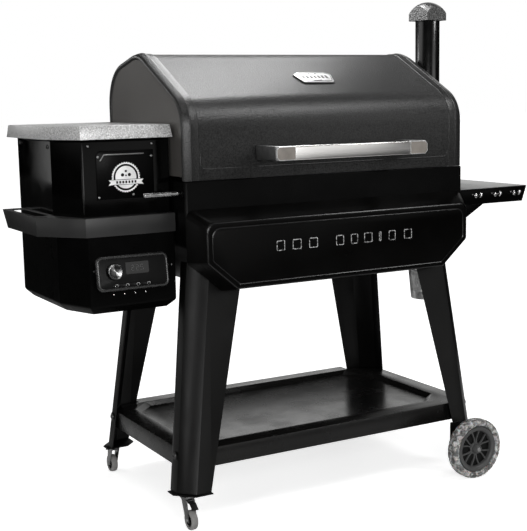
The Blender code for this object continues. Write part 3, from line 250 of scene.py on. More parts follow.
def brushed(name, level, rough, stretch, warmth=0.02):
    """Stainless steel with fine lines along one direction."""
    shader = Shader(name, rough, 1.0)
    lines = shader.noise(55.0, 6.0, stretch)
    shader.colour(shader.tone(lines, level * 0.8, level * 1.12, warmth))
    shader.roughness(lines, rough - 0.07, rough + 0.09)
    shader.bump(shader.noise(190.0, 3.0, stretch), 0.12, 0.0003)
    shader.set("Anisotropic", 0.45)
    return shader.mat


def plated(name, level, rough):
    return drifting(Shader(name, rough, 1.0), (45.0, 3.0, level * 0.8, level * 1.15),
                    (120.0, 3.0, rough - 0.06, rough + 0.1), (420.0, 2.0, 0.06, 0.0003))


def spun_with_painted_glint(name, level, rough):
    """Metal turned on a lathe, with a painted highlight: a cross of bright wedges in its colour runs out from
    the middle of the dial.
    """
    shader = Shader(name, rough, 1.0)
    middle = control_frame() @ Vector((*DIAL_SPOT, DIAL_FACE))
    # painted highlight: the wedges lie about one fixed direction on the panel and go into the base colour
    along = control_frame().to_3x3() @ Vector((-0.62, 0.78, 0.0))
    outward = shader.vectors("NORMALIZE", shader.vectors("SUBTRACT", shader.coords, middle))
    across = shader.vectors("DOT_PRODUCT", outward, along, "Value")
    painted_glint = shader.maths("POWER", shader.maths("ABSOLUTE", across), 14.0)
    painted_glint_rays = shader.tone(painted_glint, level * 0.1, level, start=0.05, end=0.55)
    lathe = shader.tone(shader.noise(160.0, 3.0), 0.8, 1.0)
    shader.colour(shader.mix(painted_glint_rays, lathe, 1.0, "MULTIPLY"))
    shader.roughness(shader.noise(300.0, 2.0), rough - 0.05, rough + 0.05)
    return shader.mat


def plastic(name, level, rough, grain=700.0, warmth=0.0, specular=0.45):
    """Moulded plastic with a fine spark-eroded grain."""
    return drifting(Shader(name, rough, 0.0, specular), (30.0, 3.0, level * 0.82, level * 1.18, warmth),
                    (90.0, 3.0, rough - 0.05, rough + 0.08), (grain, 2.0, 0.16, 0.0003))


def cast_iron(name):
    shader = Shader(name, 0.55, 0.2, 0.4)
    tone = shader.noise(25.0, 5.0)
    stops = ((0.3, grey(0.01)), (0.62, grey(0.024)), (0.8, grey(0.045, 0.1)))
    shader.colour(shader.colours(tone, *stops))
    shader.roughness(tone, 0.45, 0.72)
    shader.bump(shader.noise(240.0, 4.0), 0.35, 0.0006)
    return shader.mat


def tyre_gel(name):
    """Cloudy moulded polyurethane with bright and dark pockets."""
    shader = Shader(name, 0.24)
    clouds = shader.noise(85.0, 4.0, distortion=0.6)
    stops = ((0.32, grey(0.06, 0.02)), (0.48, grey(0.19, 0.02)), (0.6, grey(0.46, 0.01)), (0.72, grey(0.8)))
    shader.colour(shader.colours(clouds, *stops))
    shader.roughness(clouds, 0.16, 0.38)
    shader.bump(clouds, 0.45, 0.001)
    shader.set("Subsurface Weight", 0.25)
    shader.set("Subsurface Scale", 0.006)
    return shader.mat


ENAMEL = enamel("black_enamel_gloss", 0.0012, 0.3, 0.05)
PANEL_ENAMEL = enamel("black_enamel_panel", 0.0016, 0.32, 0.06, 0.04)
CART_ENAMEL = enamel("black_enamel_cart", 0.0022, 0.34, 0.18, 0.03)
SHELF_ENAMEL = enamel("black_enamel_shelf", 0.0045, 0.24, 0.26, 0.04)
SATIN = enamel("black_satin_apron", 0.017, 0.42, 0.5)
HOPPER_ENAMEL = enamel("black_enamel_hopper", 0.001, 0.1, 0.1)
# lit copy of the panel's enamel, brighter and glossier: painted highlight lines on the panel's edges
EDGE_HIGHLIGHT_ENAMEL = enamel("black_enamel_edge_highlight", 0.004, 0.26, 0.3)
HOUSING_ENAMEL = enamel("black_enamel_housing", 0.001, 0.3, 0.05)
PIPE_ENAMEL = enamel("black_enamel_pipe", 0.0025, 0.2, 0.9)
LID_COAT = hammertone("charcoal_hammertone", 0.026, 0.36, 0.25, 340.0, 0.55)
# painted shade: the lid's lower wall reflects less towards its foot
shade_towards_foot(LID_COAT, SEAM_Z + 0.005, SEAM_Z + 0.15)
CAP_COAT = hammertone("olive_hammertone", 0.085, 0.46, 0.15, 620.0, 0.2, 0.06)
SILVER_COAT = hammertone("silver_hammertone", 0.6, 0.42, 0.55, 380.0, 0.7)
HOOD_COAT = hammertone("hood_hammertone", 0.22, 0.28, 0.85, 300.0, 0.8)
STEEL_X = brushed("brushed_steel_along_x", 0.82, 0.3, (0.02, 1.0, 1.0))
STEEL_Y = brushed("brushed_steel_along_y", 0.3, 0.34, (1.0, 0.02, 1.0), 0.0)
GALVANISED = plated("galvanised_steel", 0.88, 0.42)
CASTER_STEEL = plated("caster_steel", 0.17, 0.28)
ZINC = plated("zinc_plate", 0.36, 0.33)
ROD_STEEL = plated("rod_steel", 0.4, 0.22)
CHROME = plated("polished_steel", 0.8, 0.12)
DARK_SCREW = plated("blackened_screw", 0.1, 0.35)
# bright plated coat given to parts as a painted highlight
HIGHLIGHT_PLATE = plated("painted_highlight_plate", 0.3, 0.38)
# spun dial whose colour carries a painted highlight
DIAL_STEEL_PAINTED_GLINT = spun_with_painted_glint("spun_dial_painted_glint", 0.9, 0.24)
IRON = cast_iron("enamelled_cast_iron")
GEL = tyre_gel("cloudy_tyre")
TREAD = drifting(Shader("caster_tread", 0.55, 0.0, 0.4), (60.0, 4.0, 0.17, 0.28, 0.02),
                 (120.0, 3.0, 0.45, 0.68), (380.0, 3.0, 0.2, 0.0004))
BLACK_PLASTIC = plastic("black_plastic", 0.005, 0.42, specular=0.12)
BEZEL_PLASTIC = plastic("bezel_plastic", 0.014, 0.24, 900.0, specular=0.6)
RIM_PLASTIC = plastic("grey_rim_plastic", 0.06, 0.46)
OLIVE_BLOCK = plastic("olive_handle_block", 0.2, 0.4, 500.0, 0.1)
PALE_BADGE = plastic("pale_badge", 0.8, 0.35, 900.0)
DISPLAY = plastic("display_window", 0.003, 0.1, 300.0)
WORN_PRINT = drifting(Shader("worn_print", 0.5), (230.0, 3.0, 0.01, 0.45, 0.0, 0.42, 0.52),
                      (200.0, 2.0, 0.45, 0.6))
DIGITS = drifting(Shader("display_digits", 0.4), (600.0, 1.0, 0.04, 0.05), (200.0, 2.0, 0.35, 0.5))

SLOT_LOOKS = {
    "black_enamel": ENAMEL, "lid_hammertone": LID_COAT, "silver_hammertone": SILVER_COAT,
    "brushed_steel": STEEL_X, "zinc": ZINC, "cast_iron": IRON, "grey_rubber": TREAD,
    "black_plastic": BLACK_PLASTIC,
}
NODE_LOOKS = {
    "hopper_apron": SATIN, "hopper_body": HOPPER_ENAMEL, "chimney_pipe": PIPE_ENAMEL,
    "side_shelf_top": STEEL_Y, "grease_bucket": GALVANISED, "front_panel": PANEL_ENAMEL,
    "bottom_shelf": SHELF_ENAMEL, "chimney_cap": HOOD_COAT, "auger_motor": BLACK_PLASTIC,
}
# the handle brackets take the bright plated coat as a painted highlight
NODE_LOOKS |= {f"handle_bracket_{side}": HIGHLIGHT_PLATE for side in ("left", "right")}
for each_end, _ in ENDS:
    NODE_LOOKS |= {f"{each_end}_{side}_leg": CART_ENAMEL for side in ("left", "right")}
    NODE_LOOKS |= {f"{each_end}_caster_fork": CASTER_STEEL, f"{each_end}_wheel_rim": RIM_PLASTIC}


def look_of(node):
    return NODE_LOOKS.get(node, SLOT_LOOKS[SLOT_OF[node]])


# ---------------------------------------------------------------- mesh helpers
def as_object(name, bm):
    """Scene object that takes over a bmesh."""
    mesh = bpy.data.meshes.new(name)
    bm.to_mesh(mesh)
    bm.free()
    obj = bpy.data.objects.new(name, mesh)
    bpy.context.scene.collection.objects.link(obj)
    return obj


def piece(name, bm, look, body, sharp, replaced=()):
    """Make a shaded piece from a bmesh, in the row frame, riding on a body."""
    obj = as_object(name, bm)
    obj.data.shade_smooth()
    obj.data.set_sharp_from_angle(angle=radians(sharp))
    obj.data.materials.append(look)
    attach(obj, body)
    if replaced:
        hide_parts(*replaced)
    return obj


def stand_in(node, name, bm, look, sharp):
    """Piece that takes a CAD node's place, on its body, in the look that it is given."""
    return piece(name, bm, look, BODY_OF[node], sharp, (node,))


def middle_and_half(node):
    """Middle and half sizes of a CAD node's box."""
    low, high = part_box(node)
    return [(a + b) / 2 for a, b in zip(low, high)], [(b - a) / 2 for a, b in zip(low, high)]


def solid(bm):
    bmesh.ops.remove_doubles(bm, verts=bm.verts, dist=1e-6)
    bmesh.ops.recalc_face_normals(bm, faces=bm.faces)
    return bm


def lofted(rings, start=True, end=True, closed=False, loop=True):
    """Skin rings of equal length; start and end say whether those rings are capped."""
    bm = bmesh.new()
    loops = [[bm.verts.new(point) for point in ring] for ring in rings]
    pairs = list(zip(loops, loops[1:] + loops[:1] if closed else loops[1:]))
    count = len(rings[0])
    for low, high in pairs:
        for i in range(count if loop else count - 1):
            j = (i + 1) % count
            bm.faces.new((low[i], low[j], high[j], high[i]))
    if start and not closed:
        bm.faces.new(loops[0])
    if end and not closed:
        bm.faces.new(loops[-1])
    return solid(bm)


def layers(axis, *loops, **caps):
    """Skin (outline, height) pairs along an axis."""
    return lofted([lift(outline, axis, height) for outline, height in loops], **caps)


def lift(outline, axis, height):
    """Put a 2D outline into space: X takes (y, z), Y takes (x, z), Z takes (x, y)."""
    if axis == "X":
        return [(height, a, b) for a, b in outline]
    if axis == "Y":
        return [(a, height, b) for a, b in outline]
    return [(a, b, height) for a, b in outline]


def arc_corner(before, corner, after, radius, steps):
    """Points of the arc that rounds one corner."""
    before, corner, after = Vector(before), Vector(corner), Vector(after)
    to_before, to_after = (before - corner).normalized(), (after - corner).normalized()
    half = to_before.angle(to_after) / 2
    middle = corner + (to_before + to_after).normalized() * radius / sin(half)
    start = corner + to_before * radius / tan(half) - middle
    end = corner + to_after * radius / tan(half) - middle
    turn = start.angle_signed(end)
    points = []
    for k in range(steps + 1):
        angle = -turn * k / steps
        points.append((middle.x + start.x * cos(angle) - start.y * sin(angle),
                       middle.y + start.x * sin(angle) + start.y * cos(angle)))
    return points


def rounded_loop(corners, radii, steps=6):
    """Closed outline with every corner rounded."""
    radii = radii if isinstance(radii, (list, tuple)) else [radii] * len(corners)
    points = []
    for i, corner in enumerate(corners):
        points += arc_corner(corners[i - 1], corner, corners[(i + 1) % len(corners)], radii[i], steps)
    return points


def rounded_path(corners, radii, steps=6):
    """Open outline with its inner corners rounded."""
    points = [tuple(corners[0])]
    for before, corner, after, radius in zip(corners, corners[1:], corners[2:], radii):
        points += arc_corner(before, corner, after, radius, steps)
    return points + [tuple(corners[-1])]


def offset(path, distance, closed=False):
    """Move a path to its right by a distance, with mitred corners."""
    points = [Vector(point) for point in path]
    count = len(points)
    shifted = []
    for i, point in enumerate(points):
        before = points[i - 1] if closed or i else None
        after = points[(i + 1) % count] if closed or i < count - 1 else None
        normals = []
        for a, b in ((before, point), (point, after)):
            if a is not None and b is not None and (b - a).length > 1e-9:
                along = (b - a).normalized()
                normals.append(Vector((along.y, -along.x)))
        mitre = sum(normals, Vector((0, 0))).normalized()
        shifted.append(point + mitre * distance / max(mitre.dot(normals[0]), 0.3))
    return [(point.x, point.y) for point in shifted]


def thicken(bm, thickness):
    """Give an open sheet its thickness, inwards from its outer face."""
    obj = as_object("sheet", solid(bm))
    modifier = obj.modifiers.new("thickness", "SOLIDIFY")
    modifier.thickness = thickness
    modifier.offset = -1.0
    modifier.use_even_offset = True
    return evaluated(obj)


def evaluated(obj):
    """Mesh of an object with its modifiers applied; the object itself goes."""
    graph = bpy.context.evaluated_depsgraph_get()
    result = bmesh.new()
    result.from_object(obj, graph)
    bpy.data.objects.remove(obj, do_unlink=True)
    return result


def carve(bm, *tools):
    """Cut closed shapes out of a closed shape."""
    for tool in tools:
        block, cutter = as_object("block", bm), as_object("cutter", tool)
        modifier = block.modifiers.new("cut", "BOOLEAN")
        modifier.operation = "DIFFERENCE"
        modifier.solver = "EXACT"
        modifier.object = cutter
        bm = evaluated(block)
        bpy.data.objects.remove(cutter, do_unlink=True)
    return bm


def circle(centre, radius, sides=48):
    angles = [2 * pi * k / sides for k in range(sides)]
    return [(centre[0] + radius * cos(a), centre[1] + radius * sin(a)) for a in angles]


def turned(profile, axis, centre, sides=48, ring=False):
    """Turn (radius, height) points about an axis."""
    return layers(axis, *((circle(centre, radius, sides), height) for radius, height in profile), closed=ring)


def hoop(half_section, axis, centre, middle, sides):
    """Turn a closed section whose far half mirrors the near one about a middle plane."""
    section = half_section + [(radius, -height) for radius, height in reversed(half_section)]
    return turned([(radius, middle + height) for radius, height in section], axis, centre, sides, ring=True)


def prism(outline, axis, low, high):
    return layers(axis, (outline, low), (outline, high))


def box(axis, corner, far_corner, low, high):
    """Block with a rectangular outline between two corners."""
    (x0, y0), (x1, y1) = corner, far_corner
    return prism([(x0, y0), (x1, y0), (x1, y1), (x0, y1)], axis, low, high)


def rounded_box(width, height, radius, steps=6, centre=(0.0, 0.0)):
    """Outline of a rectangle with rounded corners."""
    x, y = width / 2, height / 2
    loop = rounded_loop([(-x, -y), (x, -y), (x, y), (-x, y)], radius, steps)
    return [(a + centre[0], b + centre[1]) for a, b in loop]


def swept(points, radius, sides=12):
    """Round bar along a path in space."""
    path = [Vector(point) for point in points]
    rings = []
    side = None
    for i, point in enumerate(path):
        ahead = (path[min(i + 1, len(path) - 1)] - path[max(i - 1, 0)]).normalized()
        if side is None:
            side = ahead.orthogonal().normalized()
        side = (side - ahead * side.dot(ahead)).normalized()
        other = ahead.cross(side)
        rings.append([point + radius * (side * cos(2 * pi * k / sides) + other * sin(2 * pi * k / sides))
                      for k in range(sides)])
    return lofted(rings)


def merged(*meshes):
    """One bmesh that holds several separate closed shapes."""
    total = bmesh.new()
    for bm in meshes:
        mesh = bpy.data.meshes.new("part")
        bm.to_mesh(mesh)
        bm.free()
        total.from_mesh(mesh)
        bpy.data.meshes.remove(mesh)
    return total


def moved(bm, matrix):
    bmesh.ops.transform(bm, matrix=matrix, verts=bm.verts)
    return bm


def soften(node, width, segments=2, angle=24.0):
    """Stand-in for a CAD node with its sharp edges rounded."""
    bm = bmesh.new()
    bm.from_mesh(NODES[node].data)
    bmesh.ops.remove_doubles(bm, verts=bm.verts, dist=2e-6)
    bmesh.ops.dissolve_limit(bm, angle_limit=radians(0.6), verts=bm.verts, edges=bm.edges)
    obj = as_object("soft", bm)
    bevel = obj.modifiers.new("edges", "BEVEL")
    bevel.width = width
    bevel.segments = segments
    bevel.limit_method = "ANGLE"
    bevel.angle_limit = radians(angle)
    bevel.use_clamp_overlap = True
    return stand_in(node, f"{node}_formed", evaluated(obj), look_of(node), 50.0)


# ---------------------------------------------------------------- small fittings
def screw(name, at, normal, radius, look, head=0.35, socket=True):
    """Pan head, with or without a hexagonal socket, standing on a face."""
    height = radius * head * 2
    profile = [(radius * 0.98, 0.0), (radius, height * 0.25)]
    profile += [(radius * cos(t), height * (0.25 + 0.75 * sin(t))) for t in (0.3, 0.6, 0.9, 1.15)]
    if socket:
        profile += [(radius * 0.38, height), (radius * 0.36, height * 0.35), (radius * 0.02, height * 0.3)]
    else:
        profile += [(radius * 0.02, height)]
    turn = Vector((0, 0, 1)).rotation_difference(Vector(normal)).to_matrix().to_4x4()
    bm = moved(turned(profile, "Z", (0, 0), 24), Matrix.Translation(at) @ turn)
    return piece(name, bm, look, "cart", 40)


# ---------------------------------------------------------------- lid
def lid_profile(inset=0.0, foot=0.0):
    front, crest, back = LID_CORNERS
    corners = [(-HALF_Y, SEAM_Z + foot), (-HALF_Y, front), crest, (HALF_Y, back), (HALF_Y, SEAM_Z + foot)]
    return offset(rounded_path(corners, LID_RADII, 14), inset)


def lid_stations():
    """(x, inset, foot) of the lid's sections from an end cap to the plain middle."""
    rim = [(CAP_RECESS, RIM_INSET, 0.01), (CAP_RECESS - 0.001, RIM_INSET - 0.0006, 0.0094),
           (0.0012, RIM_INSET - 0.003, 0.008), (0.0, RIM_INSET - 0.0045, 0.007), (0.0, 0.01, 0.0012),
           (0.0008, 0.008, 0.0004), (0.0025, 0.006, 0.0), (0.006, 0.0044, 0.0), (0.012, 0.0023, 0.0),
           (0.017, 0.0008, 0.0)]
    outer, inner = LID_BANDS
    bands = [(outer + 0.003, 0.0002), (outer + 0.0012, 0.0), (outer, 0.0002), (outer - 0.0006, 0.0014),
             (outer - 0.0018, 0.002), (inner + 0.0015, 0.002), (inner, 0.0022), (inner - 0.0006, 0.0034),
             (inner - 0.0018, 0.004)]
    return [(HALF_X - x, inset, foot) for x, inset, foot in rim] + [(x, inset, 0.0) for x, inset in bands]


def make_lid():
    half = lid_stations()
    stations = [(-x, inset, foot) for x, inset, foot in half] + half[::-1]
    sections = [(lid_profile(inset, foot), MIDDLE_X + x) for x, inset, foot in stations]
    shell = thicken(layers("X", *sections, start=False, end=False, loop=False), THIN_SHEET)
    stand_in("lid_shell", "lid_skin", shell, LID_COAT, 38)
    outline = lid_profile(RIM_INSET - 0.0004, 0.0098)
    for side, name in ((-1, "lid_end_left"), (1, "lid_end_right")):
        x = MIDDLE_X + side * (HALF_X - CAP_RECESS + 0.0004)
        piece(name, prism(outline, "X", x - side * 0.0016, x), CAP_COAT, "lid", 30)
    make_lid_bead()
    make_badge()


def make_lid_bead():
    """Pressed ridge round the foot and sides of the lid's front."""
    y, width, crown, sunk = -HALF_Y + 0.004, 0.0026, 0.0013, 0.0002
    low, reach, radius, rise = 0.9035, 0.3835, 0.014, 0.03
    right = [(MIDDLE_X + reach - radius + radius * sin(t), y, low + radius - radius * cos(t))
             for t in (0.0, 0.3, 0.6, 0.9, 1.2, 1.5)]
    right += [(MIDDLE_X + reach, y, low + radius + rise * t) for t in (0.2, 0.4, 0.6, 0.8, 1.0)]
    points = [Vector((2 * MIDDLE_X - x, y, z)) for x, y, z in reversed(right)] + [Vector(p) for p in right]
    section = ((-1, 0), (-0.55, 0.55), (0, 1), (0.55, 0.55), (1, 0), (0.5, -0.4), (-0.5, -0.4))
    out = Vector((0, -1, 0))
    last = len(points) - 1
    rings = []
    for i, point in enumerate(points):
        side = (points[min(i + 1, last)] - points[max(i - 1, 0)]).normalized().cross(out).normalized()
        fade = min(1.0, (min(i, last - i) + 0.2) / 5)
        rings.append([point + side * width * a + out * (crown * fade * b - sunk) for a, b in section])
    piece("lid_bead", lofted(rings), LID_COAT, "lid", 60)


def slope_frame(x, y):
    """Frame on the lid's front slope: local x along the lid, y up the slope, z out of it."""
    front, crest, _ = LID_CORNERS
    along = Vector((0, crest[0] + HALF_Y, crest[1] - front)).normalized()
    out = Vector((0, -along.z, along.y))
    at = Vector((x, y, front + (y + HALF_Y) * along.z / along.y)) - out * 0.0035
    columns = (Vector((1, 0, 0)), along, out, at)
    return Matrix([[column[i] for column in columns] for i in range(3)] + [[0, 0, 0, 1]])


def badge_outline(grow):
    """Plain lens shape of the name plate."""
    w, h = BADGE_SIZE[0] / 2 + grow, BADGE_SIZE[1] / 2 + grow
    corners = [(-w, h * 0.55), (-w * 0.8, -h), (w * 0.8, -h), (w, h * 0.55), (w * 0.72, h), (-w * 0.72, h)]
    return rounded_loop(corners, [0.006, 0.008, 0.008, 0.006, 0.01, 0.01], 4)


def make_badge():
    """Name plate without a name: plate, bright face, raised line and blank strokes."""
    at = slope_frame(MIDDLE_X + 0.024, -0.118)
    parts = (("plate", DARK_SCREW, ((0.0, 0.0002), (0.0, 0.0024), (-0.001, 0.0034))),
             ("face", GALVANISED, ((-0.0022, 0.003), (-0.0022, 0.004), (-0.003, 0.0044))),
             ("line", DARK_SCREW,
              ((-0.006, 0.0044), (-0.0064, 0.0052), (-0.0072, 0.0052), (-0.0076, 0.0044))))
    for name, look, steps in parts:
        bm = layers("Z", *((badge_outline(grow), z) for grow, z in steps), closed=name == "line")
        piece(f"badge_{name}", moved(bm, at), look, "lid", 30)
    marks = [(-0.036 + 0.012 * k, 0.0, 0.0075, 0.015) for k in range(7)]
    marks += [(-0.01, 0.0185, 0.006, 0.003), (0.01, 0.0185, 0.006, 0.003), (0.0, -0.0185, 0.026, 0.0035)]
    strokes = [prism(rounded_box(w, h, 0.0008, 2, (x, y)), "Z", 0.004, 0.0049) for x, y, w, h in marks]
    piece("badge_strokes", moved(merged(*strokes), at), RIM_PLASTIC, "lid", 30)


def make_handle():
    soften("lid_handle_bar", 0.0012)
    for side, node in ((-1, "handle_bracket_left"), (1, "handle_bracket_right")):
        soften(node, 0.0028, 3)
        make_block_face(node, side)


def make_block_face(node, side):
    """Bright chamfered frame round a dark inlay on a handle block."""
    low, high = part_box(node)
    proud = 0.0002

    def outline(inset, cut, spread=0.0):
        """Front outline: the corners away from the bar are cut off."""
        x0, x1 = (low.x + inset, high.x - inset * 0.5) if side < 0 else (low.x + inset * 0.5, high.x - inset)
        z0, z1 = low.z - proud + inset, high.z + proud - inset
        x0, x1 = x0 - spread, x1 + spread
        radii = [0.001, cut, cut, 0.001] if side > 0 else [cut, 0.001, 0.001, cut]
        return rounded_loop([(x0, z0), (x1, z0), (x1, z1), (x0, z1)], radii, 1)

    steps = ((0.0, 0.005), (0.0, 0.003), (0.0014, -0.0004), (0.0026, -0.0004), (0.003, 0.001))
    rings = [(outline(inset, 0.0078 - inset * 0.7, proud), low.y + y) for inset, y in steps]
    piece(f"{node}_frame", layers("Y", *rings, closed=True), GALVANISED, "lid", 30)
    inlay = prism(outline(0.0027, 0.0062), "Y", low.y + 0.0008, low.y - proud)
    piece(f"{node}_inlay", inlay, OLIVE_BLOCK, "lid", 40)


# ---------------------------------------------------------------- barrel
def make_barrel():
    """Box with a sloped foot and rounded edges, as one sheet."""
    low, high = BARREL
    shoulder = low.z + SLOPE
    steps = ((SLOPE + 0.004, 0.006, low.z), (SLOPE - 0.0018, 0.007, low.z + 0.0008),
             (SLOPE - 0.005, 0.008, low.z + 0.004), (0.0065, 0.008, shoulder - 0.0075),
             (0.0022, 0.008, shoulder - 0.0015), (0.0004, 0.008, shoulder + 0.004),
             (0.0, 0.008, shoulder + 0.0085), (0.0, 0.008, high.z - 0.003), (0.0009, 0.008, high.z - 0.0008),
             (0.003, 0.008, high.z), (0.014, 0.004, high.z))
    rings = [(rounded_box(2 * (HALF_X - inset), 2 * (HALF_Y - inset), radius, centre=(MIDDLE_X, 0.0)), z)
             for inset, radius, z in steps]
    stand_in("barrel_body", "barrel_skin", thicken(layers("Z", *rings, end=False), SHEET), ENAMEL, 38)


def panel_loop(grow, drop=0.0):
    """Front panel's outline, grown to the sides and dropped at the foot."""
    half, chamfer = PANEL_HX + grow, PANEL_CHAMFER_X + grow * 0.4
    top, knee, bottom = PANEL_TOP + grow, PANEL_CHAMFER_Z - drop * 0.4, PANEL_BOTTOM - drop
    corners = [(-half, top), (-half, knee), (-chamfer, bottom), (chamfer, bottom), (half, knee), (half, top)]
    radii = [0.022, 0.012, 0.01, 0.01, 0.012, 0.022]
    return rounded_loop([(MIDDLE_X + x, z) for x, z in corners], radii, 6)


def make_front_panel():
    """Dished sheet: flat face, rounded edges and a flange that widens towards the barrel."""
    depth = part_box("front_panel")[1].y - PANEL_Y
    steps = [(PANEL_FLARE * t, PANEL_DROP * t, depth * t) for t in (1.0, 0.5, 0.09)]
    steps += [(PANEL_FLARE * 0.04 - 0.0008, 0.0, 0.0022), (-0.0026, -0.0022, 0.0005), (-0.006, -0.005, 0.0)]
    steps += [(grow, grow * 0.9, dip)
              for grow, dip in ((-0.011, 0.0), (-0.0125, 0.0), (-0.014, 0.001), (-0.0155, 0.0))]
    sheet = layers("Y", *((panel_loop(grow, drop), PANEL_Y + y) for grow, drop, y in steps), start=False)
    skin = stand_in("front_panel", "front_panel_skin", thicken(sheet, THIN_SHEET), PANEL_ENAMEL, 32)
    # the rounded edge faces near the panel's face take the brighter enamel as painted highlight lines
    skin.data.materials.append(EDGE_HIGHLIGHT_ENAMEL)
    for face in skin.data.polygons:
        if face.center.y < PANEL_Y + 0.0035 and -0.97 < face.normal.y < -0.1:
            face.material_index = 1
    make_panel_marks()


def make_panel_marks():
    """Nine blank outlines where the real panel carries its lettering."""
    marks = [(-0.196, 0.024), (-0.148, 0.026), (-0.099, 0.026), (-0.018, 0.024), (0.027, 0.022),
             (0.071, 0.026), (0.109, 0.007), (0.148, 0.022), (0.2, 0.026)]
    stroke, height, z = 0.002, 0.026, 0.7065
    front, rear = PANEL_Y - 0.0004, PANEL_Y + 0.0004
    for k, (centre, width) in enumerate(marks):
        at = (MIDDLE_X + centre, z)
        outer = rounded_box(width, height, 0.003, 3, at)
        inner = rounded_box(width - 2 * stroke, height - 2 * stroke, 0.0012, 3, at)
        bm = layers("Y", (outer, rear), (outer, front), (inner, front), (inner, rear), closed=True)
        piece(f"panel_mark_{k + 1}", bm, WORN_PRINT, "cart", 30)


# ---------------------------------------------------------------- hopper and controls
def tower_steps(node, steps, radius=0.004):
    """Layers of a tower with a cut front corner, from (inset, z) or (inset, z, radius) steps."""
    low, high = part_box(node)
    outline = [(low.x, low.y + TOWER_CUT[1]), (low.x + TOWER_CUT[0], low.y), (high.x, low.y),
               (high.x, high.y), (low.x, high.y)]
    rings = []
    for inset, z, *own in steps:
        corner_radius = own[0] if own else radius
        rings.append((rounded_loop(offset(outline, -inset, closed=True), corner_radius, 5), z))
    return rings


def make_hopper():
    """Open bin whose sheet runs over its rim and down inside as a funnel."""
    low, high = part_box("hopper_body")
    wall, reach, funnel = 0.002, 0.022, 0.881
    x, y = MIDDLE_X - 0.575, 0.02
    throat = [(x - reach, y - reach / 2), (x - 0.018, y - reach), (x + reach, y - reach),
              (x + reach, y + reach), (x - reach, y + reach)]
    steps = ((wall, low.z, 0.003), (0.0, low.z), (0.0, high.z - 0.002), (0.0006, high.z - 0.0004),
             (0.0014, high.z, 0.004), (wall, high.z - 0.001, 0.003), (wall, funnel, 0.003))
    rings = tower_steps("hopper_body", steps, 0.005) + [(rounded_loop(throat, 0.003, 5), low.z)]
    body = layers("Z", *rings, start=False, end=False)
    stand_in("hopper_body", "hopper_skin", body, HOPPER_ENAMEL, 34)
    soften("hopper_lid", 0.0022, 3)
    soften("hopper_apron", 0.0009)
    make_hopper_face(low)


def make_hopper_face(low):
    """Riveted front plate with a pressed line, and a plain round emblem."""
    soften("hopper_plate", 0.001)
    plate_low, plate_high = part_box("hopper_plate")
    points = [(plate_low.x + 0.01, plate_high.z - 0.024), (plate_low.x + 0.02, plate_high.z - 0.009),
              (plate_high.x - 0.026, plate_high.z - 0.009)]
    line = swept([(x, plate_low.y + 0.0006, z) for x, z in points], 0.0019, 10)
    # the pressed line takes the bright plated coat as a painted highlight
    piece("hopper_plate_rib", line, HIGHLIGHT_PLATE, "cart", 60)
    spots = [(-0.6485, 0.969), (-0.482, 0.97), (-0.4856, 0.9405), (-0.6256, 0.942), (-0.6254, 0.844),
             (-0.536, 0.8475)]
    for k, (x, z) in enumerate(spots):
        on_plate = plate_low.x < x + MIDDLE_X < plate_high.x and plate_low.z < z < plate_high.z
        at = (MIDDLE_X + x, plate_low.y if on_plate else low.y, z)
        screw(f"hopper_screw_{k + 1}", at, (0, -1, 0), 0.003, ZINC, 0.3)
    for k, (y, z) in enumerate(((0.185, 0.972), (-0.035, 0.966))):
        screw(f"hopper_side_screw_{k + 1}", (low.x, y, z), (-1, 0, 0), 0.0055, DARK_SCREW, 0.3)
    make_emblem(MIDDLE_X - 0.5545, plate_low.y, 0.8905)


def make_emblem(x, y, z):
    """Toothed ring round a plain disc: a generic gear, with no figure and no words."""
    outer, inner, notch, count = 0.0375, 0.0325, 0.0024, 72
    sunk, face = y + 0.0003, y - 0.0009
    teeth = []
    for k in range(count):
        r = outer if k % 2 else outer - notch
        teeth.append((x + r * cos(2 * pi * k / count), z + r * sin(2 * pi * k / count)))
    bore = circle((x, z), inner, count)
    gear = layers("Y", (teeth, sunk), (teeth, face), (bore, face), (bore, sunk), closed=True)
    plate = [(0.0275, sunk), (0.0275, y - 0.0007), (0.0268, y - 0.0011), (0.0002, y - 0.0011)]
    disc = turned(plate, "Y", (x, z), 64)
    ribbon = [(-0.046, -0.0055), (-0.04, -0.0115), (-0.046, -0.0185), (-0.031, -0.017), (0.031, -0.017),
              (0.046, -0.0185), (0.04, -0.0115), (0.046, -0.0055), (0.031, -0.006), (-0.031, -0.006)]
    edge = [(x + a * 1.03, z + b + (0.0012 if b > -0.01 else -0.0012)) for a, b in ribbon]
    band = [(x + a, z + b) for a, b in ribbon]
    boxes = [rounded_box(0.0048, 0.0062, 0.001, 3, (x - 0.024 + 0.008 * k, z - 0.0115)) for k in range(7)]
    rounds = ((-0.009, 0.006, 0.0042), (0.009, 0.006, 0.0042), (0.0, 0.015, 0.003), (0.0, 0.0045, 0.0022))
    dots = [prism(loop, "Y", y - 0.0014, y - 0.0021) for loop in boxes]
    dots += [prism(circle((x + a, z + b), r, 24), "Y", y - 0.0008, y - 0.0013) for a, b, r in rounds]
    parts = (("ring", gear, PALE_BADGE), ("disc", disc, PALE_BADGE),
             ("ribbon_edge", prism(edge, "Y", y - 0.0008, y - 0.0014), BLACK_PLASTIC),
             ("ribbon", prism(band, "Y", y - 0.001, y - 0.0018), PALE_BADGE),
             ("cutouts", merged(*dots), BLACK_PLASTIC))
    for name, bm, look in parts:
        piece(f"emblem_{name}", bm, look, "cart", 30)


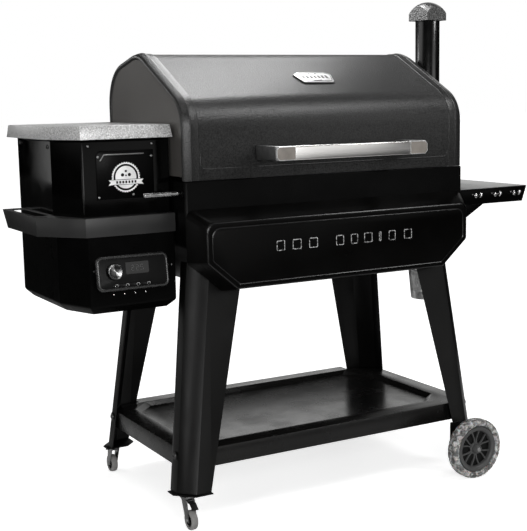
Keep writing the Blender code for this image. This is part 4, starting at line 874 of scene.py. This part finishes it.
def make_housing():
    """Sheet tower with a bevelled foot, cut out for the control panel and the inlet."""
    low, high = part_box("control_housing")
    foot = low.z + HOUSING_BEVEL
    steps = ((HOUSING_BEVEL + 0.003, low.z), (HOUSING_BEVEL - 0.0015, low.z + 0.0006),
             (HOUSING_BEVEL - 0.004, low.z + 0.003), (0.0026, foot - 0.0035), (0.0007, foot - 0.0002),
             (0.0, foot + 0.003), (0.0, high.z))
    shell = thicken(layers("Z", *tower_steps("control_housing", steps), end=False), SHEET)
    width, height = CONTROL_SIZE
    hole = moved(prism(rounded_box(width - 0.03, height - 0.03, 0.008), "Z", -0.03, 0.02), control_frame())
    inlet = box("Y", (MIDDLE_X - 0.6, 0.6405), (MIDDLE_X - 0.5695, 0.6695), high.y - 0.01, high.y + 0.01)
    stand_in("control_housing", "control_housing_skin", carve(shell, hole, inlet), HOUSING_ENAMEL, 34)
    screw("housing_screw_right", (high.x - 0.012, low.y, 0.668), (0, -1, 0), 0.0026, ZINC)
    screw("housing_screw_left", (low.x + 0.052, low.y, 0.668), (0, -1, 0), 0.0026, DARK_SCREW)


def on_panel(name, bm, look, body="cart", sharp=30):
    """Piece that is modelled in the control panel's frame."""
    return piece(name, moved(bm, control_frame()), look, body, sharp)


def make_controls():
    """Bezel, panel, window, digits, dial and sockets."""
    width, height = CONTROL_SIZE
    section = [(0.0005, 0.0), (0.0, 0.006), (0.0009, 0.0088), (0.0028, 0.0112), (0.0048, 0.012),
               (0.0066, 0.0114), (0.0078, 0.0098), (0.0084, 0.006), (0.0084, 0.0012)]
    rings = [(rounded_box(width - 2 * inset, height - 2 * inset, 0.016 - inset * 0.8), z)
             for inset, z in section]
    bezel = moved(layers("Z", *rings, closed=True), control_frame())
    stand_in("control_bezel", "control_bezel_formed", bezel, BEZEL_PLASTIC, 45)
    soften("control_panel", 0.0008)
    steps = ((0.062, 0.03, 0.004, 0.0062), (0.062, 0.03, 0.004, 0.007), (0.0608, 0.0288, 0.0034, 0.0074))
    window = [(rounded_box(w, h, radius, centre=(0.012, 0.01)), z) for w, h, radius, z in steps]
    on_panel("display_window", layers("Z", *window), DISPLAY)
    make_digits()
    make_dial()
    make_sockets()


def make_digits():
    """Three seven-segment figures; bars run clockwise from the top, the middle one comes last."""
    bar, thick = 0.0066, 0.0013
    half = bar / 2
    places = ((0, bar, 0), (half, half, 1), (half, -half, 1), (0, -bar, 0), (-half, -half, 1),
              (-half, half, 1), (0, 0, 0))
    shapes = []
    for k, lit in enumerate(((1, 1, 0, 1, 1, 0, 1), (1, 1, 0, 1, 1, 0, 1), (1, 0, 1, 1, 0, 1, 1))):
        for on, (dx, dy, upright) in zip(lit, places):
            if on:
                w, h = (thick, bar * 0.86) if upright else (bar * 0.86, thick)
                at = (-0.0005 + k * 0.0125 + dx, 0.01 + dy)
                shapes.append(prism(rounded_box(w, h, 0.0005, 2, at), "Z", 0.0072, 0.0077))
    on_panel("display_digits", merged(*shapes), DIGITS)


def make_dial():
    """Knob with a fluted skirt, a turned face and an index groove."""
    x, y = DIAL_SPOT
    angles = [2 * pi * k / 96 for k in range(96)]
    flutes, depth = 24, 0.00035
    rings = []
    for radius, z, flute in ((0.019, 0.0068, 0), (0.0203, 0.008, 0), (0.0205, 0.009, 0),
                             (0.0196, 0.01, depth), (0.0193, 0.018, depth), (0.0188, 0.0198, 0),
                             (0.0178, 0.0209, 0), (0.016, 0.0211, 0), (0.0152, 0.0206, 0),
                             (0.0004, DIAL_FACE, 0)):
        reach = [radius + flute * cos(flutes * a) for a in angles]
        rings.append(([(x + r * cos(a), y + r * sin(a)) for r, a in zip(reach, angles)], z))
    stand_in("dial_knob", "dial_formed", moved(layers("Z", *rings), control_frame()), DIAL_STEEL_PAINTED_GLINT, 50)
    mark = prism(rounded_box(0.0014, 0.008, 0.0006, 3, (x, y + 0.011)), "Z", 0.02, 0.02125)
    on_panel("dial_index", mark, BLACK_PLASTIC, "dial")


def make_sockets():
    """Strip of four probe sockets, a collar round a dark bore each, and four small studs below the bezel."""
    soften("probe_port_strip", 0.0002, 1)
    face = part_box("control_housing")[0].y
    collar = [(0.0044, 0.0076), (0.0046, 0.0088), (0.004, 0.0098), (0.0026, 0.01), (0.0023, 0.0096),
              (0.0022, 0.008)]
    for k in range(4):
        x, y = -0.004 + (k - 1.5) * 0.0282, -0.031
        bm = turned(collar, "Z", (x, y), 32, ring=True)
        on_panel(f"probe_collar_{k + 1}", bm, CHROME, "cart", 40)
        stud = (CONTROL_CENTRE.x + x, face, CONTROL_CENTRE.z - 0.0535)
        screw(f"probe_stud_{k + 1}", stud, (0, -1, 0), 0.0023, CHROME, 0.4, False)


# ---------------------------------------------------------------- chimney and side shelf
def make_chimney():
    (x, y, z), (radius, _, half) = middle_and_half("chimney_pipe")
    centre, foot, top = (x, y), z - half, z + half
    bore = radius - 0.002
    tube = turned([(radius, foot), (radius, top - 0.001), (radius - 0.0006, top), (bore + 0.0006, top),
                   (bore, top - 0.001), (bore, foot)], "Z", centre, 96, ring=True)
    bridge = prism(rounded_box(2 * radius - 0.003, 0.012, 0.002, 2, centre), "Z", top - 0.045, top - 0.042)
    stand_in("chimney_pipe", "chimney_pipe_skin", merged(tube, bridge), PIPE_ENAMEL, 40)
    soften("chimney_elbow", 0.004, 3)
    section = ((0.0003, 0.004), (0.01, 0.004), (0.01, 0.006), (0.004, 0.008), (0.003, 0.015),
               (0.0003, 0.0155))
    collar = turned([(radius + r, foot + h) for r, h in section], "Z", centre, 96, ring=True)
    piece("chimney_collar", collar, ENAMEL, "cart", 40)
    make_hood(centre)


def make_hood(centre):
    """Square hood whose domed top meets its sides in arcs, hollow below, on a threaded rod."""
    low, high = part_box("chimney_cap")
    half, wall, turn, bottom, dome, count = 0.039, 0.002, radians(6.5), 1.292, 0.062, 16

    def block(size, drop, base):
        """Square block under a dome that its sides cut off."""
        bm = bmesh.new()
        ticks = [size * (2 * i / count - 1) for i in range(count + 1)]
        rows = [[bm.verts.new((u, v, high.z - dome + sqrt(max(dome ** 2 - u * u - v * v, 0.0)) - drop))
                 for v in ticks] for u in ticks]
        for row, following in zip(rows, rows[1:]):
            for j in range(count):
                bm.faces.new((row[j], following[j], following[j + 1], row[j + 1]))
        border = [row[0] for row in rows[:-1]] + rows[-1][:-1]
        border += [row[-1] for row in rows[:0:-1]] + rows[0][:0:-1]
        feet = [bm.verts.new((vert.co.x, vert.co.y, base)) for vert in border]
        for k, vert in enumerate(border):
            bm.faces.new((border[k - 1], vert, feet[k], feet[k - 1]))
        bm.faces.new(feet)
        return solid(bm)

    hood = carve(block(half, 0.0, bottom), block(half - wall, wall, bottom - 0.004))
    moved(hood, Matrix.Translation((*centre, 0)) @ Matrix.Rotation(turn, 4, "Z"))
    stand_in("chimney_cap", "chimney_hood_skin", hood, HOOD_COAT, 30)
    last, length = 95, high.z - 0.005 - low.z
    thread = [(0.0027 + 0.0003 * (k % 2), low.z + length * k / last) for k in range(last + 1)]
    piece("hood_rod", turned(thread, "Z", centre, 16), ZINC, "chimney_hood", 80)


def make_side_shelf():
    for node, width in (("side_shelf_top", 0.0006), ("side_shelf_skirt", 0.0008),
                        ("shelf_gusset_front", 0.0007), ("shelf_gusset_rear", 0.0007)):
        soften(node, width)
    low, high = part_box("side_shelf_skirt")
    for k in range(3):
        make_hook(k + 1, low.x + 0.082 + 0.072 * k, low.y, (low.z + high.z) / 2 + 0.003)


def make_hook(number, x, y, z):
    """Utensil hook: round base, bent wire and a ball on its end."""
    foot = [(0.0062, y), (0.0062, y - 0.0012), (0.0045, y - 0.0022), (0.0004, y - 0.0024)]
    base = turned(foot, "Y", (x, z), 32)
    wire = ((0.001, 0.0), (0.01, -0.0005), (0.0165, -0.0035), (0.02, -0.0015), (0.022, 0.0035))
    stem = swept([(x, y - out, z + rise) for out, rise in wire], 0.0018)
    ball = bmesh.new()
    bmesh.ops.create_uvsphere(ball, u_segments=24, v_segments=16, radius=0.0048)
    moved(ball, Matrix.Translation((x, y - 0.0222, z + 0.0055)))
    piece(f"tool_hook_{number}", merged(base, stem, ball), CHROME, "cart", 50)
    screw(f"hook_screw_{number}", (x - 0.013, y, z + 0.004), (0, -1, 0), 0.002, ZINC)


# ---------------------------------------------------------------- cart
def make_cart():
    for end, sy in ENDS:
        for side, sx in (("left", -1), ("right", 1)):
            soften(f"{end}_{side}_leg", 0.0008, 2, 20)
    soften("bottom_shelf", 0.0009, 2, 20)
    for end, sy in ENDS:
        for side, sx in (("left", -1), ("right", 1)):
            make_leg_bolt(f"{end}_{side}", sx, sy)


def make_leg_bolt(name, way, sy):
    """Large bolt head and its washer on a leg's side flange, where the shelf is fixed."""
    x, y, z = MIDDLE_X + way * LEG_BOLT[0], sy * LEG_BOLT[1], LEG_BOLT[2]
    thick = way * 0.0012
    washer = turned([(0.0125, x), (0.0125, x + thick), (0.0006, x + way * 0.0014)], "X", (y, z), 40)
    piece(f"{name}_washer", washer, BLACK_PLASTIC, "cart", 40)
    screw(f"{name}_shelf_bolt", (x + thick, y, z), (way, 0, 0), 0.0085, DARK_SCREW, 0.32)


def make_road_wheel(end, side):
    """Tyre with notched shoulders on its rim."""
    (x, mid_y, z), (_, half, radius) = middle_and_half(f"{end}_wheel_tyre")
    seat, sides, pitch = 0.0653, 144, 6
    near = [(seat, 0.006), (seat + 0.003, 0.0012), (seat + 0.007, 0.0), (radius - 0.01, 0.0),
            (radius - 0.0045, 0.0022), (radius - 0.0012, 0.0062), (radius, 0.011)]
    section = [(r, h - half) for r, h in near] + [(r, half - h) for r, h in reversed(near)]
    rings = []
    for r, h in section:
        deep = 0.0016 if r > radius - 0.006 else (0.0007 if r > seat + 0.006 else 0.0)
        ring = []
        for k in range(sides):
            a = 2 * pi * k / sides
            groove = 0.0 if k % pitch else deep
            ring.append((x + (r - groove) * cos(a), mid_y + h * (1 - groove * 14), z + (r - groove) * sin(a)))
        rings.append(ring)
    stand_in(f"{end}_wheel_tyre", f"{end}_tyre_moulded", lofted(rings, closed=True), GEL, 50)
    make_rim(end, side, (x, z), mid_y)


def make_rim(end, side, centre, mid_y):
    """Rim band, six forked spokes and a hub with its cap."""
    rim_r, hub_r, body = 0.065, 0.017, f"{end}_wheel"
    band = [(rim_r - 0.0142, -0.004), (rim_r - 0.0138, -0.0105), (rim_r - 0.011, -0.014),
            (rim_r - 0.006, -0.0152), (rim_r - 0.002, -0.015), (rim_r, -0.0125)]
    hub = [(0.0064, -0.019), (hub_r * 0.62, -0.019), (hub_r * 0.7, -0.0175), (hub_r * 0.78, -0.006),
           (hub_r, -0.004)]
    parts = [hoop(band, "Y", centre, mid_y, 96), hoop(hub, "Y", centre, mid_y, 48)]
    r0, r1, thick = hub_r - 0.003, rim_r - 0.0138, 0.0062
    for k in range(6):
        for fork in (-1, 1):
            rings = []
            for r, degrees, w in ((r0, 7, 0.0021), (r0 + (r1 - r0) * 0.4, 8, 0.0015), (r1, 15, 0.0019)):
                angle = 2 * pi * k / 6 + pi / 6 + fork * radians(degrees)
                at = Vector((centre[0] + r * cos(angle), mid_y, centre[1] + r * sin(angle)))
                across = Vector((-sin(angle), 0, cos(angle))) * w
                out = Vector((0, thick, 0))
                rings.append([at - across - out, at + across - out, at + across + out, at - across + out])
            parts.append(lofted(rings))
    web = hoop([(hub_r - 0.002, -0.0012), (rim_r - 0.014, -0.0012)], "Y", centre, mid_y, 96)
    piece(f"{end}_rim_web", web, BLACK_PLASTIC, body, 40)
    stand_in(f"{end}_wheel_rim", f"{end}_rim_moulded", merged(*parts), RIM_PLASTIC, 40)
    steps = ((0.01, 0.019), (0.01, 0.0212), (0.0085, 0.0228), (0.0064, 0.023), (0.006, 0.02),
             (0.0062, 0.019))
    cap = turned([(r, mid_y + side * h) for r, h in steps], "Y", centre, 48, ring=True)
    piece(f"{end}_hub_cap", cap, RIM_PLASTIC, body, 40)


def make_axle(end, side):
    """Stub axle: a head inside the leg, spacers on both sides of it and a plain pin."""
    (x, y, z), (_, half, _) = middle_and_half(f"{end}_wheel_axle")
    near, far = y - side * half, y + side * half
    pin, collar, tip = 0.006, 0.0095, 0.0004
    section = [(tip, near), (0.008, near), (collar, near + side * 0.001), (collar, near + side * 0.0066),
               (pin, near + side * 0.0068), (pin, side * 0.2708), (collar, side * 0.2709),
               (collar, side * 0.321), (pin, side * 0.3212), (pin, far - side * 0.001), (pin - 0.001, far),
               (tip, far)]
    stand_in(f"{end}_wheel_axle", f"{end}_axle_turned", turned(section, "Y", (x, z)), ZINC, 40)


def make_caster(end):
    """Fork, brake, tread, hub and axle nuts of one caster."""
    soften(f"{end}_caster_fork", 0.0008)
    soften(f"{end}_caster_brake", 0.0007)
    (mid, y, z), (half, _, radius) = middle_and_half(f"{end}_caster_wheel")
    centre = (y, z)
    tread = [(0.0165, 0.002 - half), (0.0175, 0.0005 - half), (0.02, -half), (radius - 0.0032, -half),
             (radius - 0.001, 0.0012 - half), (radius, 0.0036 - half)]
    core = [(0.004, 0.0012 - half), (0.0075, 0.0012 - half), (0.0078, -0.003), (0.015, -0.003),
            (0.0164, 0.0022 - half)]
    stand_in(f"{end}_caster_wheel", f"{end}_caster_tread", hoop(tread, "X", centre, mid, 72), TREAD, 40)
    hub = hoop(core, "X", centre, mid, 48)
    piece(f"{end}_caster_hub", hub, BLACK_PLASTIC, f"{end}_roller", 40)
    for side, name in ((-1, "left"), (1, "right")):
        x = mid + side * (half + 0.0026)
        nut = prism(circle(centre, 0.0042, 6), "X", *sorted((x, x + side * 0.0022)))
        piece(f"{end}_caster_nut_{name}", nut, ZINC, f"{end}_swivel", 30)


# ---------------------------------------------------------------- bucket, broiler rod and the rest
def make_bucket():
    """Beaded pail with two ears for its bail."""
    (x, y, z), (top, _, half) = middle_and_half("grease_bucket")
    low, high = z - half, z + half
    foot, wall, lip, tip = 0.046, 0.0012, 0.0018, 0.0006
    section = [(tip, low), (foot - 0.003, low), (foot - 0.0006, low + 0.0008), (foot, low + 0.003)]
    for t in (0.25, 0.27, 0.29, 0.8, 0.82, 0.84):
        bulge = 0.0005 if t in (0.27, 0.82) else 0.0
        section.append((foot + (top - lip - foot) * t + bulge, low + (high - low) * t))
    section += [(top - lip, high - 0.003), (top - 0.0004, high - 0.0022), (top, high - 0.0012),
                (top - 0.0006, high), (top - 0.0026, high - 0.0006), (foot - wall, low + wall),
                (tip, low + wall)]
    ears = []
    for side in (-1, 1):
        face = y + side * (top - 0.0022)
        outline = rounded_box(0.016, 0.018, 0.005, 4, (x, high - 0.01))
        ears.append(prism(outline, "Y", *sorted((face, face + side * 0.002))))
    pail = merged(turned(section, "Z", (x, y), 72), *ears)
    stand_in("grease_bucket", "grease_pail", pail, GALVANISED, 40)


def make_broiler_rod():
    """Pull rod with a knurled grip, and the arm that holds the slide plate."""
    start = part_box("broiler_rod")[0].x
    y, z = -0.222, 0.847
    stop, steps = MIDDLE_X - 0.4405, 30
    profile = [(0.001, start), (0.004, start + 0.0006), (0.006, start + 0.003)]
    first, length = start + 0.005, stop - 0.004 - start - 0.005
    profile += [(0.0062 - 0.0003 * (k % 2), first + length * k / steps) for k in range(steps + 1)]
    profile += [(0.005, stop), (0.0035, stop + 0.003), (0.0035, MIDDLE_X - 0.2685),
                (0.0034, MIDDLE_X - 0.268)]
    rod = turned(profile, "X", (y, z))
    span = (MIDDLE_X - 0.272, MIDDLE_X - 0.266)
    arm = [box("X", (y - 0.0035, 0.8), (y + 0.0035, z), *span),
           box("X", (-0.2255, 0.7975), (-0.06, 0.8055), *span)]
    stand_in("broiler_rod", "broiler_rod_turned", merged(rod, *arm), ROD_STEEL, 40)
    wall = MIDDLE_X - HALF_X
    collar = [(0.005, wall), (0.0105, wall), (0.0105, wall - 0.0015), (0.0085, wall - 0.0035),
              (0.005, wall - 0.0035)]
    piece("rod_collar", turned(collar, "X", (y, z), 40, ring=True), ENAMEL, "cart", 40)


def dress_remaining():
    """Edges and finish of every CAD node that no formed piece stands for."""
    widths = {"lid_hinge_pin": 0.0006, "fan_impeller": 0.0003}
    for node, obj in NODES.items():
        if obj.hide_render:
            continue
        if node in ("bucket_bail", "bucket_hook", "auger_screw"):
            obj.data.materials.clear()
            obj.data.materials.append(look_of(node))
        else:
            soften(node, widths.get(node, 0.0005))


# ---------------------------------------------------------------- studio
def make_stage():
    """Pale floor: white to the eye, and only the part near the grill shows up in its gloss."""
    floor = Shader("pale_floor", 0.6, 0.0, 0.2)
    reach = floor.vectors("LENGTH", floor.coords, output="Value")
    eye = floor.node("LightPath")["Is Camera Ray"]
    pale = floor.tone(floor.noise(1.5, 2.0), 0.86, 0.9)
    far = floor.spread(reach, 0.0, 1.0, 1.0, 2.2)
    hidden = floor.maths("MULTIPLY", far, floor.maths("SUBTRACT", 1.0, eye))
    floor.colour(floor.mix(pale, (0.02, 0.02, 0.02, 1), hidden))
    shine = floor.maths("MULTIPLY", floor.spread(reach, 0.72, 1.0, 0.9, 2.6), eye)
    floor.set("Emission Strength", shine)
    floor.set("Emission Color", (1, 1, 1, 1))
    bm = bmesh.new()
    bmesh.ops.create_grid(bm, x_segments=1, y_segments=1, size=40.0)
    obj = as_object("floor", bm)
    obj.location = (0, 0, -0.0005)
    obj.data.materials.append(floor.mat)


def make_world():
    """White to the eye; in reflections a lit backdrop, soft boxes at the sides and dark between them."""
    world = bpy.data.worlds.new("studio")
    bpy.context.scene.world = world
    world.use_nodes = True
    graph = Graph(world.node_tree)
    graph.nodes.clear()
    coords = graph.node("TexCoord")["Generated"]
    total = None
    for way, edge, core, strength in WORLD_PATCHES:
        closeness = graph.vectors("DOT_PRODUCT", coords, Vector(way).normalized(), "Value")
        limits = (cos(radians(edge)), cos(radians(core)))
        patch = graph.spread(closeness, 0.0, strength, *limits, curve="SMOOTHSTEP")
        total = patch if total is None else graph.maths("ADD", total, patch)
    felt = graph.node("Background", Color=(1, 1, 0.99, 1), Strength=total)["Background"]
    seen = graph.node("Background", Color=(1, 1, 1, 1))["Background"]
    eye = graph.node("LightPath")["Is Camera Ray"]
    graph.node("OutputWorld", Surface=graph.node("MixShader", eye, felt, seen)["Shader"])


def softbox(name, at, target, size, power):
    light = bpy.data.lights.new(name, "AREA")
    light.shape = "RECTANGLE"
    light.size, light.size_y = size
    light.energy = power
    obj = bpy.data.objects.new(name, light)
    bpy.context.scene.collection.objects.link(obj)
    obj.location = at
    obj.rotation_euler = (Vector(target) - Vector(at)).to_track_quat("-Z", "Y").to_euler()
    obj.visible_camera = False
    return obj


def make_lights():
    softbox("slope_key", (0.18, 0.45, 1.95), (-0.1, -0.12, 1.13), (0.76, 0.34), 10)
    softbox("overhead", (0.2, 0.2, 3.6), (0, 0, 0), (1.6, 1.2), 20)
    softbox("right_front", (2.0, -1.6, 3.0), (0.1, 0, 0.95), (0.7, 1.2), 34)
    softbox("camera_side", (-1.05, -3.4, 1.45), (0.2, 0, 1.0), (1.5, 1.1), 50)
    softbox("rim_side", (-1.65, -1.0, 1.15), (-0.4, -0.24, 1.0), (0.22, 0.9), 5)
    softbox("hood_side", (-1.14, 1.6, 1.72), (0.27, 0.2, 1.3), (0.6, 0.5), 4)


def make_camera():
    yaw, pitch, roll = CAMERA_YAW, CAMERA_PITCH, CAMERA_ROLL
    ahead = Vector((sin(yaw) * cos(pitch), cos(yaw) * cos(pitch), -sin(pitch)))
    right = Vector((cos(yaw), -sin(yaw), 0))
    up = right.cross(ahead)
    side = cos(roll) * right + sin(roll) * up
    top = -sin(roll) * right + cos(roll) * up
    data = bpy.data.cameras.new("camera")
    data.lens, data.sensor_width = CAMERA_LENS, 36.0
    data.clip_end = 200
    obj = bpy.data.objects.new("camera", data)
    bpy.context.scene.collection.objects.link(obj)
    columns = (side, top, -ahead)
    obj.matrix_world = Matrix([[c[i] for c in columns] + [CAMERA_AT[i]] for i in range(3)] + [[0, 0, 0, 1]])
    bpy.context.scene.camera = obj


def main():
    make_camera()
    make_world()
    make_lights()
    make_stage()
    bpy.context.scene.view_settings.view_transform = "Standard"
    make_lid()
    make_handle()
    make_barrel()
    make_front_panel()
    make_hopper()
    make_housing()
    make_controls()
    make_chimney()
    make_side_shelf()
    make_cart()
    for end, side in ENDS:
        make_road_wheel(end, side)
    for end, side in ENDS:
        make_axle(end, side)
    for end, _ in ENDS:
        make_caster(end)
    make_bucket()
    make_broiler_rod()
    dress_remaining()


main()
